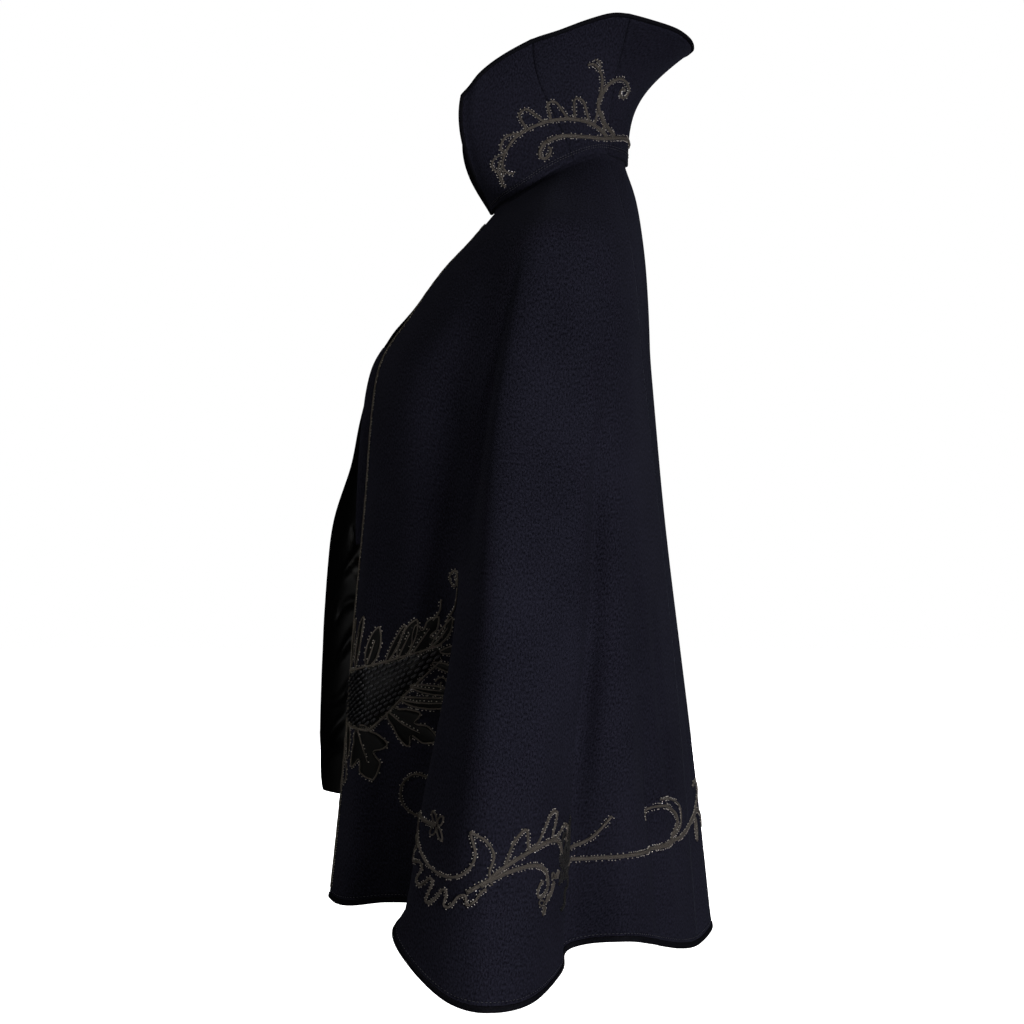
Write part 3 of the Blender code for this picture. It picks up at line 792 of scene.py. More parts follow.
@dataclass
class Collar:
    """The tall flared collar: five pieces with pressed seams, its bound rim and stitching."""

    rows: int = 56
    made: dict[str, np.ndarray] = field(default_factory=dict)
    faces: dict[str, np.ndarray] = field(default_factory=dict)

    def grid(self, key: str, first: tuple[float, float], second: tuple[float, float],
             columns: int) -> np.ndarray:
        """One piece's outer face, with a soft dip beside each seam.

        Args:
            key: The piece's name.
            first: Turn of its front seam at the foot and at the rim.
            second: Turn of its back seam at the foot and at the rim.
            columns: Points across.

        Returns:
            The grid, the rim's row first.
        """
        lines, turns, rises, beside = [], [], [], []
        share = np.linspace(0, 1, columns)
        for i in range(self.rows):
            rise = (1 - i / (self.rows - 1)) * RIM
            start = first[0] + (first[1] - first[0]) * rise
            end = second[0] + (second[1] - second[0]) * rise
            turn = start + (end - start) * share
            line = collar_points(turn, rise)
            lines.append(line)
            turns.append(turn)
            rises.append(np.full(columns, rise))
            reach = travel(line)
            beside.append(np.minimum(reach if first[0] > 6 else 1.0, reach[-1] - reach))
        points = np.array(lines)
        out = grid_normals(points)
        push = collar_wave(np.array(turns), np.array(rises))
        push -= 0.0007 * np.exp(-(np.array(beside) / 0.0021) ** 2)
        points = points + out * push[..., None]
        self.made[key], self.faces[key] = points, grid_normals(points)
        return points

    def build(self) -> list[tuple[str, bpy.types.Object]]:
        """Make the five pieces.

        Returns:
            Pairs of the grid's name and the piece.
        """
        a, b, c = (COLLAR_SEAMS[k] for k in ("front", "side", "back"))
        self.grid("front", a, b, 74)
        self.grid("side", b, c, 34)
        self.grid("nape", c, (360 - c[0], 360 - c[1]), 72)
        pieces = []
        for key, node in (("front", "collar_front"), ("side", "collar_side")):
            for side in Side:
                piece = self.shell(f"collar_wool_{key}_{side.word}", key, side is Side.RIGHT)
                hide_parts(f"{node}_{side.word}")
                pieces.append((key, piece))
        piece = self.shell("collar_wool_back", "nape", False)
        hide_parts("collar_back")
        return pieces + [("nape", piece)]

    def shell(self, name: str, key: str, mirrored: bool) -> bpy.types.Object:
        """One piece with its wall."""
        grid, out = self.made[key], self.faces[key]
        return cloth(name, grid, grid - out * COLLAR_WALL, grid_uv(grid), mirrored)

    def rim(self) -> tuple[np.ndarray, np.ndarray, np.ndarray]:
        """The bound edge: its centre line, its way out from the cloth and the face's way."""
        border = [("front", i, 0) for i in range(self.rows - 1, -1, -1)]
        for key in ("front", "side", "nape"):
            last = self.made[key].shape[1]
            last = last if key != "nape" else last // 2 + 1
            border += [(key, 0, j) for j in range(1, last)]
        points = np.array([self.made[k][i, j] for k, i, j in border])
        ways = np.array([self.faces[k][i, j] for k, i, j in border])
        inner = np.array([self.made[k][max(i, 1), max(j, 1)] for k, i, j in border])
        ahead = unit(np.gradient(points, axis=0))
        out = unit(np.cross(ahead, ways))
        out *= np.sign(np.einsum("ij,ij->i", out, points - inner))[:, None]
        out = unit(out)
        path = points - ways * COLLAR_WALL / 2 + out * 0.0011
        path[-1, 0] = 0.0
        other = slice(-2, None, -1)
        return tuple(np.concatenate([v, turned_over(v[other])]) for v in (path, out, ways))

    def bind(self) -> bpy.types.Object:
        """The bound edge round the front edges and the rim."""
        path, out, ways = self.rim()
        profile = [(0.0026 * math.cos(k), 0.0024 * math.sin(k))
                   for k in np.linspace(0, 2 * math.pi, 12, endpoint=False)]
        piece = sweep("collar_edge", [Run(path, out, ways)], profile)
        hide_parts("collar_binding")
        return piece

    def stitch(self) -> bpy.types.Object:
        """Two rows of small stitches above the collar's foot."""
        chart, spots = CollarChart(), Spots()
        for above in (0.0075, 0.0100):
            along = np.arange(-0.270, 0.270, 0.0034)
            path, out = chart.at(along, np.full(len(along), above))
            spots.add(path, np.gradient(path, axis=0), out, (0.0012, 0.00035, 0.00030))
        return spots.piece("collar_stitching")

    def dress(self) -> None:
        """Build the collar and finish it."""
        for key, piece in self.build():
            dress(piece, WOOL)
        dress(self.bind(), BINDING)
        dress(self.stitch(), THREAD)


# Cords, beads and stitches

@dataclass(frozen=True)
class Run:
    """A line in space with two directions square to it."""

    path: np.ndarray
    across: np.ndarray
    up: np.ndarray
    width: np.ndarray | float = 1.0


def sweep(name: str, runs: Iterable[Run], profile: Sequence[tuple[float, float]],
          mirrored: bool = False) -> bpy.types.Object:
    """Closed cords of one section along several lines, as one piece.

    Args:
        name: The piece's name.
        runs: The lines.
        profile: The section's corners, anticlockwise in the across and up directions.
        mirrored: Whether the piece is turned over to the wearer's right.

    Returns:
        The new object.
    """
    section = np.array(profile)
    girth = np.linalg.norm(np.diff(section, axis=0, append=section[:1]), axis=1)
    girth = np.concatenate([[0], np.cumsum(girth)[:-1]])
    points, uv, faces, start = [], [], [], 0
    count = len(section)
    for run in runs:
        width = np.broadcast_to(run.width, len(run.path))[:, None, None]
        ring = (run.path[:, None] + width * (section[:, 0, None] * run.across[:, None]
                                             + section[:, 1, None] * run.up[:, None]))
        reach = travel(run.path)
        uv.append(np.stack(np.broadcast_arrays(reach[:, None], girth[None, :]), axis=2)
                  .reshape(-1, 2))
        points.append(ring.reshape(-1, 3))
        ahead = run.path[1] - run.path[0]
        flip = np.dot(np.cross(run.across[0], run.up[0]), ahead) < 0
        for i in range(len(run.path) - 1):
            for k in range(count):
                a, b = start + i * count + k, start + i * count + (k + 1) % count
                face = (a, b, b + count, a + count)
                faces.append(tuple(reversed(face)) if flip else face)
        for base, turn in ((start, True), (start + (len(run.path) - 1) * count, False)):
            cap = tuple(range(base, base + count))
            faces.append(tuple(reversed(cap)) if turn != flip else cap)
        start += len(run.path) * count
    return make_mesh(name, np.concatenate(points), faces, np.concatenate(uv), mirrored)


class Spots:
    """Many small shapes of twenty faces gathered into one piece, such as beads and stitches."""

    def __init__(self, faceted: bool = False) -> None:
        self.bodies: list[np.ndarray] = []
        self.faceted = faceted
        self.shape, self.faces = self.model()

    @staticmethod
    @functools.cache
    def model() -> tuple[np.ndarray, np.ndarray]:
        """Corners and faces of the one shape that is copied."""
        bpy.ops.object.select_all(action="DESELECT")
        bpy.ops.mesh.primitive_ico_sphere_add(subdivisions=1, radius=1.0)
        made = bpy.context.object
        corners = np.array([v.co[:] for v in made.data.vertices])
        faces = np.array([p.vertices[:] for p in made.data.polygons])
        mesh = made.data
        bpy.data.objects.remove(made)
        bpy.data.meshes.remove(mesh)
        return corners, faces

    def add(self, places: np.ndarray, along: np.ndarray, out: np.ndarray,
            size: tuple[float, float, float]) -> None:
        """Set one shape at each place.

        Args:
            places: Where the shapes touch the cloth.
            along: The way each one points.
            out: The cloth's outward direction.
            size: Half length, half width and half height.
        """
        up = unit(out)
        ahead = unit(along - up * np.einsum("ij,ij->i", along, up)[:, None])
        side = np.cross(up, ahead)
        body = (self.shape[:, 0, None] * ahead[:, None] * size[0]
                + self.shape[:, 1, None] * side[:, None] * size[1]
                + self.shape[:, 2, None] * up[:, None] * size[2])
        self.bodies.append(places[:, None] + up[:, None] * size[2] * 0.8 + body)

    def piece(self, name: str, mirrored: bool = False) -> bpy.types.Object:
        """The gathered shapes as one piece."""
        bodies = np.concatenate(self.bodies)
        steps = np.arange(len(bodies))[:, None, None] * len(self.shape)
        uv = np.tile(self.shape[:, :2] * 0.001, (len(bodies), 1))
        made = make_mesh(name, bodies.reshape(-1, 3),
                         (self.faces[None] + steps).reshape(-1, 3).tolist(), uv, mirrored)
        if self.faceted:
            flat = np.zeros(len(made.data.polygons), dtype=bool)
            made.data.polygons.foreach_set("use_smooth", flat)
        return made


# Drawing on the cloth

def even(points: Sequence[Sequence[float]] | np.ndarray, step: float) -> np.ndarray:
    """A polyline with points an even step apart."""
    points = np.asarray(points, float)
    reach = travel(points)
    count = max(3, int(reach[-1] / step) + 1)
    at = np.linspace(0, reach[-1], count)
    return np.column_stack([np.interp(at, reach, points[:, k]) for k in range(2)])


def through(*points: tuple[float, float]) -> np.ndarray:
    """A smooth flat curve through the points."""
    p = np.array(points, float)
    gaps = np.maximum(np.linalg.norm(np.diff(p, axis=0), axis=1), 1e-6) ** 0.5
    at = np.concatenate([[0], np.cumsum(gaps)])
    return spline(np.column_stack([at, p]), np.linspace(0, at[-1], 26 * len(p)))


def spiral(centre: tuple[float, float], radius: float, start: float, sweep_by: float,
           shrink: float = 0.25) -> np.ndarray:
    """A curl that winds in towards its centre, its angles in degrees."""
    share = np.linspace(0, 1, 60)
    angle = np.radians(start + sweep_by * share)
    reach = radius * (1 - (1 - shrink) * share ** 0.8)
    return np.column_stack([centre[0] + reach * np.cos(angle), centre[1] + reach * np.sin(angle)])


def toothed(path: np.ndarray, teeth: int, reach: float, lean: float, side: int = 1,
            root: float = 0.0) -> np.ndarray:
    """The fingered edge of a leaf along one side of a curve.

    Args:
        path: The leaf's rib.
        teeth: How many fingers.
        reach: Length of the longest one, in metres.
        lean: How far the fingers point forward, as a share of their length.
        side: 1 for the left of the rib, -1 for its right.
        root: Share of the reach that stays between the fingers.

    Returns:
        The edge, from the rib's start to its end.
    """
    path = even(path, 0.0011)
    ahead = unit(np.gradient(path, axis=0))
    left = np.column_stack([-ahead[:, 1], ahead[:, 0]]) * side
    share = np.linspace(0, 1, len(path))
    beat = share * teeth
    whole = np.sin(np.pi * share ** 0.85) ** 0.6
    uneven = 1 + 0.16 * np.sin(np.floor(beat) * 2.4 + 0.7)
    finger = 0.5 - 0.5 * np.tanh(2.0 * np.cos(2 * np.pi * beat)) / math.tanh(2.0)
    out = reach * whole * (root + (1 - root) * finger * uneven)
    return path + left * out[:, None] + ahead * (out * lean)[:, None]


# A leaf with a lobe at each side: share of its length, half width as a share, lean forward
LOBED = np.array([(0.0, 0.10, 0.0), (0.08, 0.40, 0.0), (0.20, 0.52, 0.0), (0.30, 0.80, 0.04),
                  (0.38, 1.00, 0.16), (0.44, 0.74, 0.13), (0.51, 0.38, 0.02), (0.62, 0.36, 0.0),
                  (0.72, 0.46, 0.03), (0.80, 0.34, 0.05), (0.90, 0.16, 0.04), (1.0, 0.0, 0.0)])


@dataclass(frozen=True)
class Lobe:
    """One leaf or petal: where it starts, how long it is, and which way it points and bends."""

    base: tuple[float, float]
    length: float
    angle: float
    width: float
    bend: float = 0.0
    lobed: bool = False
    vein: bool = True

    def rib(self, count: int = 44) -> np.ndarray:
        """The line down its middle."""
        share = np.linspace(0, 1, count)
        angle = np.radians(self.angle + self.bend * share)
        step = self.length / (count - 1)
        ways = np.column_stack([np.cos(angle), np.sin(angle)]) * step
        return np.array(self.base) + np.vstack([[0, 0], np.cumsum(ways[:-1], axis=0)])

    def sides(self) -> tuple[np.ndarray, np.ndarray]:
        """Its left and right edges, from the base to the tip."""
        rib = self.rib(110 if self.lobed else 44)
        ahead = unit(np.gradient(rib, axis=0))
        left = np.column_stack([-ahead[:, 1], ahead[:, 0]])
        share = np.linspace(0, 1, len(rib))
        half = self.width / 2 * share ** 0.62 * (1 - share) ** 0.72 / 0.497
        lean = np.zeros(len(rib))
        if self.lobed:
            edge = spline(LOBED, share)
            half, lean = self.width / 2 * edge[:, 0], self.length * edge[:, 1]
        half[0] = self.width * 0.06
        half[-1] = 0.0002
        return tuple(rib + left * (half * k)[:, None] + ahead * lean[:, None] for k in (1, -1))

    def outline(self) -> np.ndarray:
        """Its whole edge, from the base round the tip and back."""
        left, right = self.sides()
        return np.concatenate([left, right[-2::-1]])


@dataclass(frozen=True)
class CordKind:
    """A couched cord: its size and the beads sewn beside it."""

    width: float
    height: float
    beads: int = 2
    gap: float = 0.0034
    bead: float = 0.00058


class Cords(Enum):
    """The cords used on the cape."""

    STEM = CordKind(0.0042, 0.0022)
    OUTLINE = CordKind(0.0028, 0.0018)
    VEIN = CordKind(0.0021, 0.0015)
    FINE = CordKind(0.0020, 0.0014, beads=1, gap=0.0044, bead=0.00072)
    PETAL = CordKind(0.0019, 0.0014, beads=1, gap=0.0060, bead=0.00060)
    EDGE = CordKind(0.0020, 0.0013, beads=1, gap=0.0031, bead=0.00055)


class Couching:
    """Cords and beads laid along flat curves on one chart."""

    def __init__(self, chart: "Skin | CollarChart", step: float = 0.0022) -> None:
        self.chart = chart
        self.step = step
        self.runs: list[Run] = []
        self.beads = Spots(faceted=True)
        self.shake = np.random.default_rng(1894)

    def lay(self, flat: np.ndarray, kind: Cords, taper: float = 0.0,
            lift: float = CORD_LIFT) -> None:
        """Lay one cord with its beads.

        Args:
            flat: The curve on the chart.
            kind: Which cord.
            taper: How much narrower its far end is, as a share.
            lift: How far above the wool it lies.
        """
        cord = kind.value
        flat = even(flat, self.step)
        path, out = self.chart.at(flat[:, 0], flat[:, 1])
        path = path + out * lift
        ahead = unit(np.gradient(path, axis=0))
        across = unit(np.cross(out, ahead))
        share = np.linspace(0, 1, len(path))
        width = (1 - taper * share ** 2) * (1 + 0.05 * np.sin(share * len(path) * 0.9))
        self.runs.append(Run(path, across * cord.width / 2,
                             out * cord.height, width))
        reach = travel(path)
        for side in (1, -1)[:cord.beads]:
            at = np.arange(cord.gap * (0.3 if side > 0 else 0.8), reach[-1], cord.gap)
            at = at + self.shake.uniform(-0.25, 0.25, len(at)) * cord.gap
            at = at[self.shake.random(len(at)) > BEADS_LEFT_OUT]
            if not len(at):
                continue
            near = np.clip(np.searchsorted(reach, at), 1, len(path) - 1)
            away = cord.width / 2 + cord.bead * self.shake.uniform(1.0, 2.3, len(at))
            mix = ((at - reach[near - 1]) / (reach[near] - reach[near - 1]))[:, None]
            spot = path[near - 1] * (1 - mix) + path[near] * mix
            spot = spot + across[near] * (side * away)[:, None]
            turned = ahead[near] + across[near] * self.shake.uniform(-0.7, 0.7, (len(at), 1))
            self.beads.add(spot, turned, out[near],
                           (cord.bead * 1.25, cord.bead, cord.bead))

    def lobe(self, lobe: Lobe, edge: Cords = Cords.OUTLINE, vein: Cords = Cords.VEIN,
             reach: float = 0.74, lift: float = CORD_LIFT) -> None:
        """Lay the cord round a leaf, and its vein.

        Args:
            lobe: The leaf.
            edge: The cord round it.
            vein: The cord of its vein.
            reach: Share of the leaf's length at which the vein ends.
            lift: How far above the wool the vein lies.
        """
        outline = lobe.outline()
        self.lay(outline[outline[:, 0] > EDGE_CLEAR], edge)
        if lobe.vein:
            rib = lobe.rib()
            self.lay(rib[3:int(len(rib) * reach)], vein, 0.5, lift)

    def finish(self, name: str, side: Side, cord: Finish = GIMP, bead: Finish = BEAD_PAINTED_GLINT) -> None:
        """Make the cords and the beads of one side."""
        half = [(math.cos(k), math.sin(k)) for k in np.linspace(0, math.pi, 6)]
        mirrored = side is Side.RIGHT
        cords = sweep(f"{name}_cords_{side.word}", self.runs, half, mirrored)
        dress(cords, cord)
        beads = self.beads.piece(f"{name}_beads_{side.word}", mirrored)
        dress(beads, bead)


# The front motif: a plaited bell with satin leaves round it

BELL_LOBES = (
    Lobe((0.011, 0.262), 0.054, 88, 0.013, -8, vein=False),
    Lobe((0.030, 0.264), 0.060, 82, 0.015, -14),
    Lobe((0.056, 0.268), 0.048, 66, 0.023, 10),
    Lobe((0.084, 0.275), 0.058, 56, 0.009, -4, vein=False),
    Lobe((0.104, 0.281), 0.056, 56, 0.021, 8),
    Lobe((0.126, 0.291), 0.054, 58, 0.028, -6, True),
    Lobe((0.148, 0.302), 0.046, 44, 0.013, 14),
    Lobe((0.157, 0.297), 0.036, 12, 0.009, 24, vein=False),
    Lobe((0.148, 0.284), 0.040, -18, 0.010, 34, vein=False),
    Lobe((0.122, 0.256), 0.056, -8, 0.012, 16),
    Lobe((0.106, 0.240), 0.084, -8, 0.015, 30),
    Lobe((0.088, 0.224), 0.074, -30, 0.044, 22, True),
    Lobe((0.042, 0.200), 0.064, -58, 0.066, -10, True),
    Lobe((0.012, 0.200), 0.040, -78, 0.014, -8, vein=False),
)


@dataclass
class FrontMotif:
    """The bell of plaited cord, the satin leaves and the cords round them."""

    skin: Skin
    rows: int = 15
    pad_rows: int = 26
    pad_columns: int = 44

    @staticmethod
    def bell(share: np.ndarray) -> tuple[np.ndarray, np.ndarray, np.ndarray]:
        """Distance along, and the lower and upper edge, from the wool's edge to the tip."""
        low = 0.199 + 0.091 * np.maximum(0.0, (share - 0.36) / 0.64) ** 1.1
        return 0.004 + 0.155 * share, low, 0.2565 + 0.048 * share ** 1.3

    def pad(self) -> tuple[np.ndarray, np.ndarray]:
        """The dark cloth under the plaits."""
        share = np.linspace(0, 1, self.pad_columns)
        along, low, high = self.bell(share)
        low = low - 0.0015 * np.sin(np.pi * share)
        rows = np.linspace(0, 1, self.pad_rows)[:, None]
        h = high + (low - high) * rows
        a = np.broadcast_to(along, h.shape)
        point, out = (v.reshape(*h.shape, 3) for v in self.skin.at(a.ravel(), h.ravel()))
        puff = (np.sin(np.pi * rows) * np.sin(np.pi * share * 0.94 + 0.1)).clip(0) * 0.0012
        return point + out * (0.0007 + puff)[..., None], point + out * 0.0002

    def plaits(self) -> Spots:
        """Slanting rows of short wrapped cords across the bell."""
        spots, slope = Spots(), math.tan(math.radians(27))
        shake = np.random.default_rng(77)
        share = np.linspace(0, 1, 400)
        along, low, high = self.bell(share)
        for row in range(-14, self.rows):
            start = 0.1975 + row * 0.0056
            a = np.arange(0.006 + 0.0045 * (row % 2), 0.160, 0.0090)
            h = start + slope * (a - 0.004) + 0.0022 * np.sin(a * 21)
            inside = ((h > np.interp(a, along, low) + 0.0022)
                      & (h < np.interp(a, along, high) - 0.0024) & (a < 0.157))
            a, h = a[inside], h[inside]
            if not len(a):
                continue
            h = h + shake.uniform(-0.0004, 0.0004, len(h))
            here, out = self.skin.at(a, h)
            tilt = math.radians(27 + 9)
            there, _ = self.skin.at(a + 0.002 * math.cos(tilt), h + 0.002 * math.sin(tilt))
            spots.add(here + out * 0.0008, there - here, out, (0.0050, 0.0016, 0.0014))
        return spots

    def leaf(self, lobe: Lobe) -> tuple[np.ndarray, np.ndarray]:
        """The raised satin of one leaf, its top and its underside."""
        left, right = lobe.sides()
        share = np.linspace(0.03, 0.97, 9)[None, :, None]
        flat = left[:, None] * (1 - share) + right[:, None] * share
        flat[..., 0] = np.maximum(flat[..., 0], 0.0008)
        along, above = flat[..., 0].ravel(), flat[..., 1].ravel()
        point, out = self.skin.at(along, above)
        shape = (*flat.shape[:2], 3)
        point, out = point.reshape(shape), out.reshape(shape)
        dome = np.sin(np.pi * share[..., 0]) ** 0.7 * np.sin(
            np.pi * np.linspace(0.03, 0.97, len(left)))[:, None] ** 0.5
        return point + out * (0.0006 + 0.0009 * dome)[..., None], point + out * 0.0002

    def leaves(self, side: Side) -> bpy.types.Object:
        """All the satin leaves of one side as one piece."""
        points, faces, uv, start = [], [], [], 0
        for lobe in BELL_LOBES:
            top, under = self.leaf(lobe)
            rows, columns = top.shape[:2]
            points.append(np.concatenate([top.reshape(-1, 3), under.reshape(-1, 3)]))
            uv += [grid_uv(top).reshape(-1, 2)] * 2
            faces += [tuple(k + start for k in face) for face in shell_faces(rows, columns)]
            start += 2 * rows * columns
        return make_mesh(f"leaves_{side.word}", np.concatenate(points), faces,
                         np.concatenate(uv), side is Side.RIGHT)

    def cords(self) -> Couching:
        """The cords of the motif."""
        work = Couching(self.skin)
        share = np.linspace(0, 1, 60)
        along, low, high = self.bell(share)
        work.lay(np.column_stack([along, high]), Cords.OUTLINE, 0.25)
        work.lay(np.column_stack([along, low - 0.0015]), Cords.OUTLINE, 0.25)
        for lobe in BELL_LOBES:
            work.lobe(lobe, Cords.FINE, Cords.FINE, 0.70, LEAF_LIFT)
        # a tendril above, a hanging drop and a looped line below
        work.lay(through((0.160, 0.312), (0.168, 0.334), (0.182, 0.350), (0.194, 0.372)),
                 Cords.FINE)
        work.lay(spiral((0.181, 0.378), 0.0130, -20, 480), Cords.VEIN, 0.3)
        work.lay(through((0.150, 0.330), (0.158, 0.342), (0.160, 0.354)), Cords.FINE)
        work.lay(spiral((0.160, 0.262), 0.0090, 170, -420), Cords.FINE)
        work.lay(through((0.184, 0.262), (0.178, 0.246), (0.172, 0.226), (0.174, 0.208),
                         (0.166, 0.190)), Cords.FINE)
        work.lay(through((0.004, 0.166), (0.014, 0.154), (0.018, 0.140), (0.010, 0.132),
                         (0.004, 0.140)), Cords.FINE)
        return work

    def edge_cord(self) -> Couching:
        """The fine double cord down the wool's whole front edge."""
        work = Couching(self.skin, 0.0032)
        above = np.linspace(0.870, 0.012, 300)
        for along in (0.0030, 0.0058):
            line = np.column_stack([along + 0.0005 * np.sin(above * 260 + along * 900), above])
            work.lay(line, Cords.EDGE)
        return work

    def dress(self) -> None:
        """Build the motif on both sides."""
        top, under = self.pad()
        work, edge, plaits = self.cords(), self.edge_cord(), self.plaits()
        for side in Side:
            mirrored, panel = side is Side.RIGHT, f"wool_front_{side.word}"
            pad = cloth(f"bell_pad_{side.word}", top, under, grid_uv(top), mirrored)
            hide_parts(f"smocked_panel_{side.word}")
            dress(pad, SATIN)
            rope = dress(plaits.piece(f"bell_plaits_{side.word}", mirrored), PLAIT)
            leaves = self.leaves(side)
            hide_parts(f"leaf_applique_{side.word}")
            dress(leaves, LEAF_SATIN)
            # The bell's cords and the edge cord take the gimp copy with painted light.
            work.finish("bell", side, GIMP_PAINTED_LIGHT)
            edge.finish("edge", side, GIMP_PAINTED_LIGHT)


# The vine above the hem

@dataclass
class HemVine:
    """A running scroll of cord with leaves, tendrils and small flowers."""

    skin: Skin

    @staticmethod
    def flower(centre: tuple[float, float], size: float, turn: float, petals: int = 4
               ) -> list[Lobe]:
        """A small open flower of looped cord."""
        steps = [turn + 360 / petals * k for k in range(petals)]
        return [Lobe((centre[0] + 0.002 * math.cos(math.radians(a)),
                      centre[1] + 0.002 * math.sin(math.radians(a))),
                     size * (1 + 0.2 * math.sin(3 * a)), a, size * 0.55, vein=False)
                for a in steps]

    def draw(self) -> Couching:
        """The vine from the front panel round to the centre back."""
        work = Couching(self.skin)
        stem, line, vein = Cords.STEM, Cords.OUTLINE, Cords.VEIN
        # the open curl at its front end, and the line down the hollow of the fold
        work.lay(through((0.150, 0.154), (0.128, 0.156), (0.111, 0.143), (0.109, 0.124),
                         (0.122, 0.110), (0.156, 0.106), (0.196, 0.118), (0.226, 0.136)), line)
        for petal in self.flower((0.272, 0.150), 0.017, 60):
            work.lobe(petal, Cords.PETAL)
        work.lay(through((0.228, 0.138), (0.244, 0.140), (0.268, 0.148)), stem)
        # the first leaf, curled up at its tip, with fingers hanging below it
        rib = through((0.226, 0.138), (0.240, 0.118), (0.266, 0.107), (0.300, 0.110),
                      (0.328, 0.124), (0.336, 0.143), (0.325, 0.166))
        work.lay(rib, line)
        work.lay(through((0.325, 0.166), (0.342, 0.160), (0.354, 0.146), (0.354, 0.130),
                         (0.360, 0.118)), line)
        under = through((0.228, 0.130), (0.240, 0.112), (0.264, 0.099), (0.300, 0.098),
                        (0.334, 0.104), (0.356, 0.114))
        work.lay(toothed(under, 6, 0.023, -0.45, -1), line)
        # the second leaf
        work.lay(through((0.350, 0.116), (0.366, 0.134), (0.392, 0.147), (0.424, 0.151),
                         (0.450, 0.145), (0.462, 0.131)), stem)
        work.lay(toothed(through((0.362, 0.130), (0.392, 0.149), (0.428, 0.153),
                                 (0.474, 0.140)), 3, 0.025, 0.55), line)
        # the branch below it, with two small flowers
        work.lay(through((0.338, 0.108), (0.354, 0.121), (0.376, 0.131), (0.402, 0.133),
                         (0.426, 0.124), (0.438, 0.107)), stem)
        work.lay(spiral((0.426, 0.108), 0.0120, -10, -250, 0.50), line)
        for centre, turn in (((0.452, 0.110), 20), ((0.438, 0.090), -80)):
            for petal in self.flower(centre, 0.011, turn, 3):
                work.lobe(petal, Cords.PETAL)
        # the short branch and the long stem towards the back
        work.lay(through((0.494, 0.112), (0.518, 0.114), (0.540, 0.122), (0.552, 0.144)),
                 stem, 0.3)
        work.lay(through((0.492, 0.112), (0.530, 0.101), (0.580, 0.097), (0.632, 0.102),
                         (0.684, 0.111), (0.734, 0.122), (0.780, 0.133)), stem)
        work.lay(through((0.656, 0.106), (0.690, 0.117), (0.698, 0.134), (0.680, 0.148),
                         (0.646, 0.152), (0.622, 0.145), (0.620, 0.136)), stem, 0.45)
        work.lay(through((0.690, 0.115), (0.708, 0.130), (0.700, 0.149), (0.672, 0.159),
                         (0.644, 0.159)), vein)
        # the back: a curl, a small leaf and the stem's end, which meets its twin at the centre
        work.lay(through((0.768, 0.131), (0.784, 0.140), (0.789, 0.153), (0.780, 0.162),
                         (0.770, 0.158)), line)
        work.lobe(Lobe((0.772, 0.127), 0.028, -58, 0.012, -12), vein)
        work.lay(through((0.776, 0.133), (0.790, 0.130), (0.802, 0.122), (0.808, 0.110)), stem,
                 0.4)
        return work

    def knot(self) -> Couching:
        """The leaf where the vine crosses the hollow of the fold, its cords and beads darkened as
        painted shade of the hollow.
        """
        work = Couching(self.skin)
        line, vein = Cords.OUTLINE, Cords.VEIN
        work.lobe(Lobe((0.464, 0.122), 0.042, 66, 0.032, -10, True), line)
        work.lobe(Lobe((0.482, 0.120), 0.034, 60, 0.016, -10), line)
        work.lay(toothed(through((0.462, 0.120), (0.480, 0.112), (0.494, 0.096),
                                 (0.492, 0.070)), 4, 0.014, 0.6), line)
        for k in range(4):
            x, top = 0.466 + 0.008 * k, 0.152 - 0.005 * k
            work.lay(through((x, top), (x + 0.006, 0.126), (x + 0.003, 0.100)), vein)
        return work

    def dress(self) -> None:
        """Build the vine on both sides."""
        work, knot = self.draw(), self.knot()
        for side in Side:
            work.finish("vine", side)
            # The knot's cords and beads are painted shade of the fold's hollow.
            knot.finish("knot", side, GIMP_PAINTED_SHADE, BEAD_PAINTED_SHADE)


@dataclass
class CollarVine:
    """The leaf scroll on each side of the collar."""

    def draw(self) -> Couching:
        """The scroll from near the centre back round to the front of the collar."""
        work = Couching(CollarChart(), 0.0018)
        stem, line, vein = Cords.STEM, Cords.OUTLINE, Cords.VEIN
        work.lay(through((0.008, 0.020), (0.034, 0.023), (0.062, 0.020), (0.088, 0.017),
                         (0.116, 0.023), (0.142, 0.032), (0.160, 0.034)), stem)
        work.lay(spiral((0.161, 0.0235), 0.0105, 95, -340, 0.35), stem, 0.35)
        rib = through((0.082, 0.020), (0.106, 0.036), (0.132, 0.048), (0.166, 0.057),
                      (0.194, 0.058), (0.210, 0.048))
        work.lay(rib, stem, 0.3)
        work.lay(toothed(rib, 5, 0.024, 0.75, 1, 0.02)[4:], line)
        work.lay(through((0.206, 0.052), (0.213, 0.040), (0.211, 0.030), (0.203, 0.022)), line)
        work.lay(through((0.208, 0.050), (0.220, 0.053), (0.226, 0.047), (0.221, 0.037)), vein)
        for k in range(3):
            work.lay(through((0.214, 0.046 - 0.007 * k), (0.221, 0.036 - 0.007 * k),
                             (0.217, 0.027 - 0.006 * k)), vein)
        # the upright branch with its hooked top
        work.lay(through((0.068, 0.022), (0.086, 0.034), (0.099, 0.055), (0.098, 0.078),
                         (0.101, 0.094), (0.111, 0.108), (0.118, 0.109)), stem, 0.35)
        work.lay(through((0.104, 0.098), (0.105, 0.108), (0.111, 0.114)), vein)
        # a curled branch towards the back
        work.lay(through((0.099, 0.062), (0.092, 0.080), (0.078, 0.091), (0.064, 0.088)), stem,
                 0.3)
        work.lay(spiral((0.066, 0.076), 0.0110, 95, 400, 0.30), line)
        return work

    def dress(self) -> None:
        """Build the scroll on both sides."""
        work = self.draw()
        for side in Side:
            work.finish("collar_vine", side)


# The bound hem and its stitches

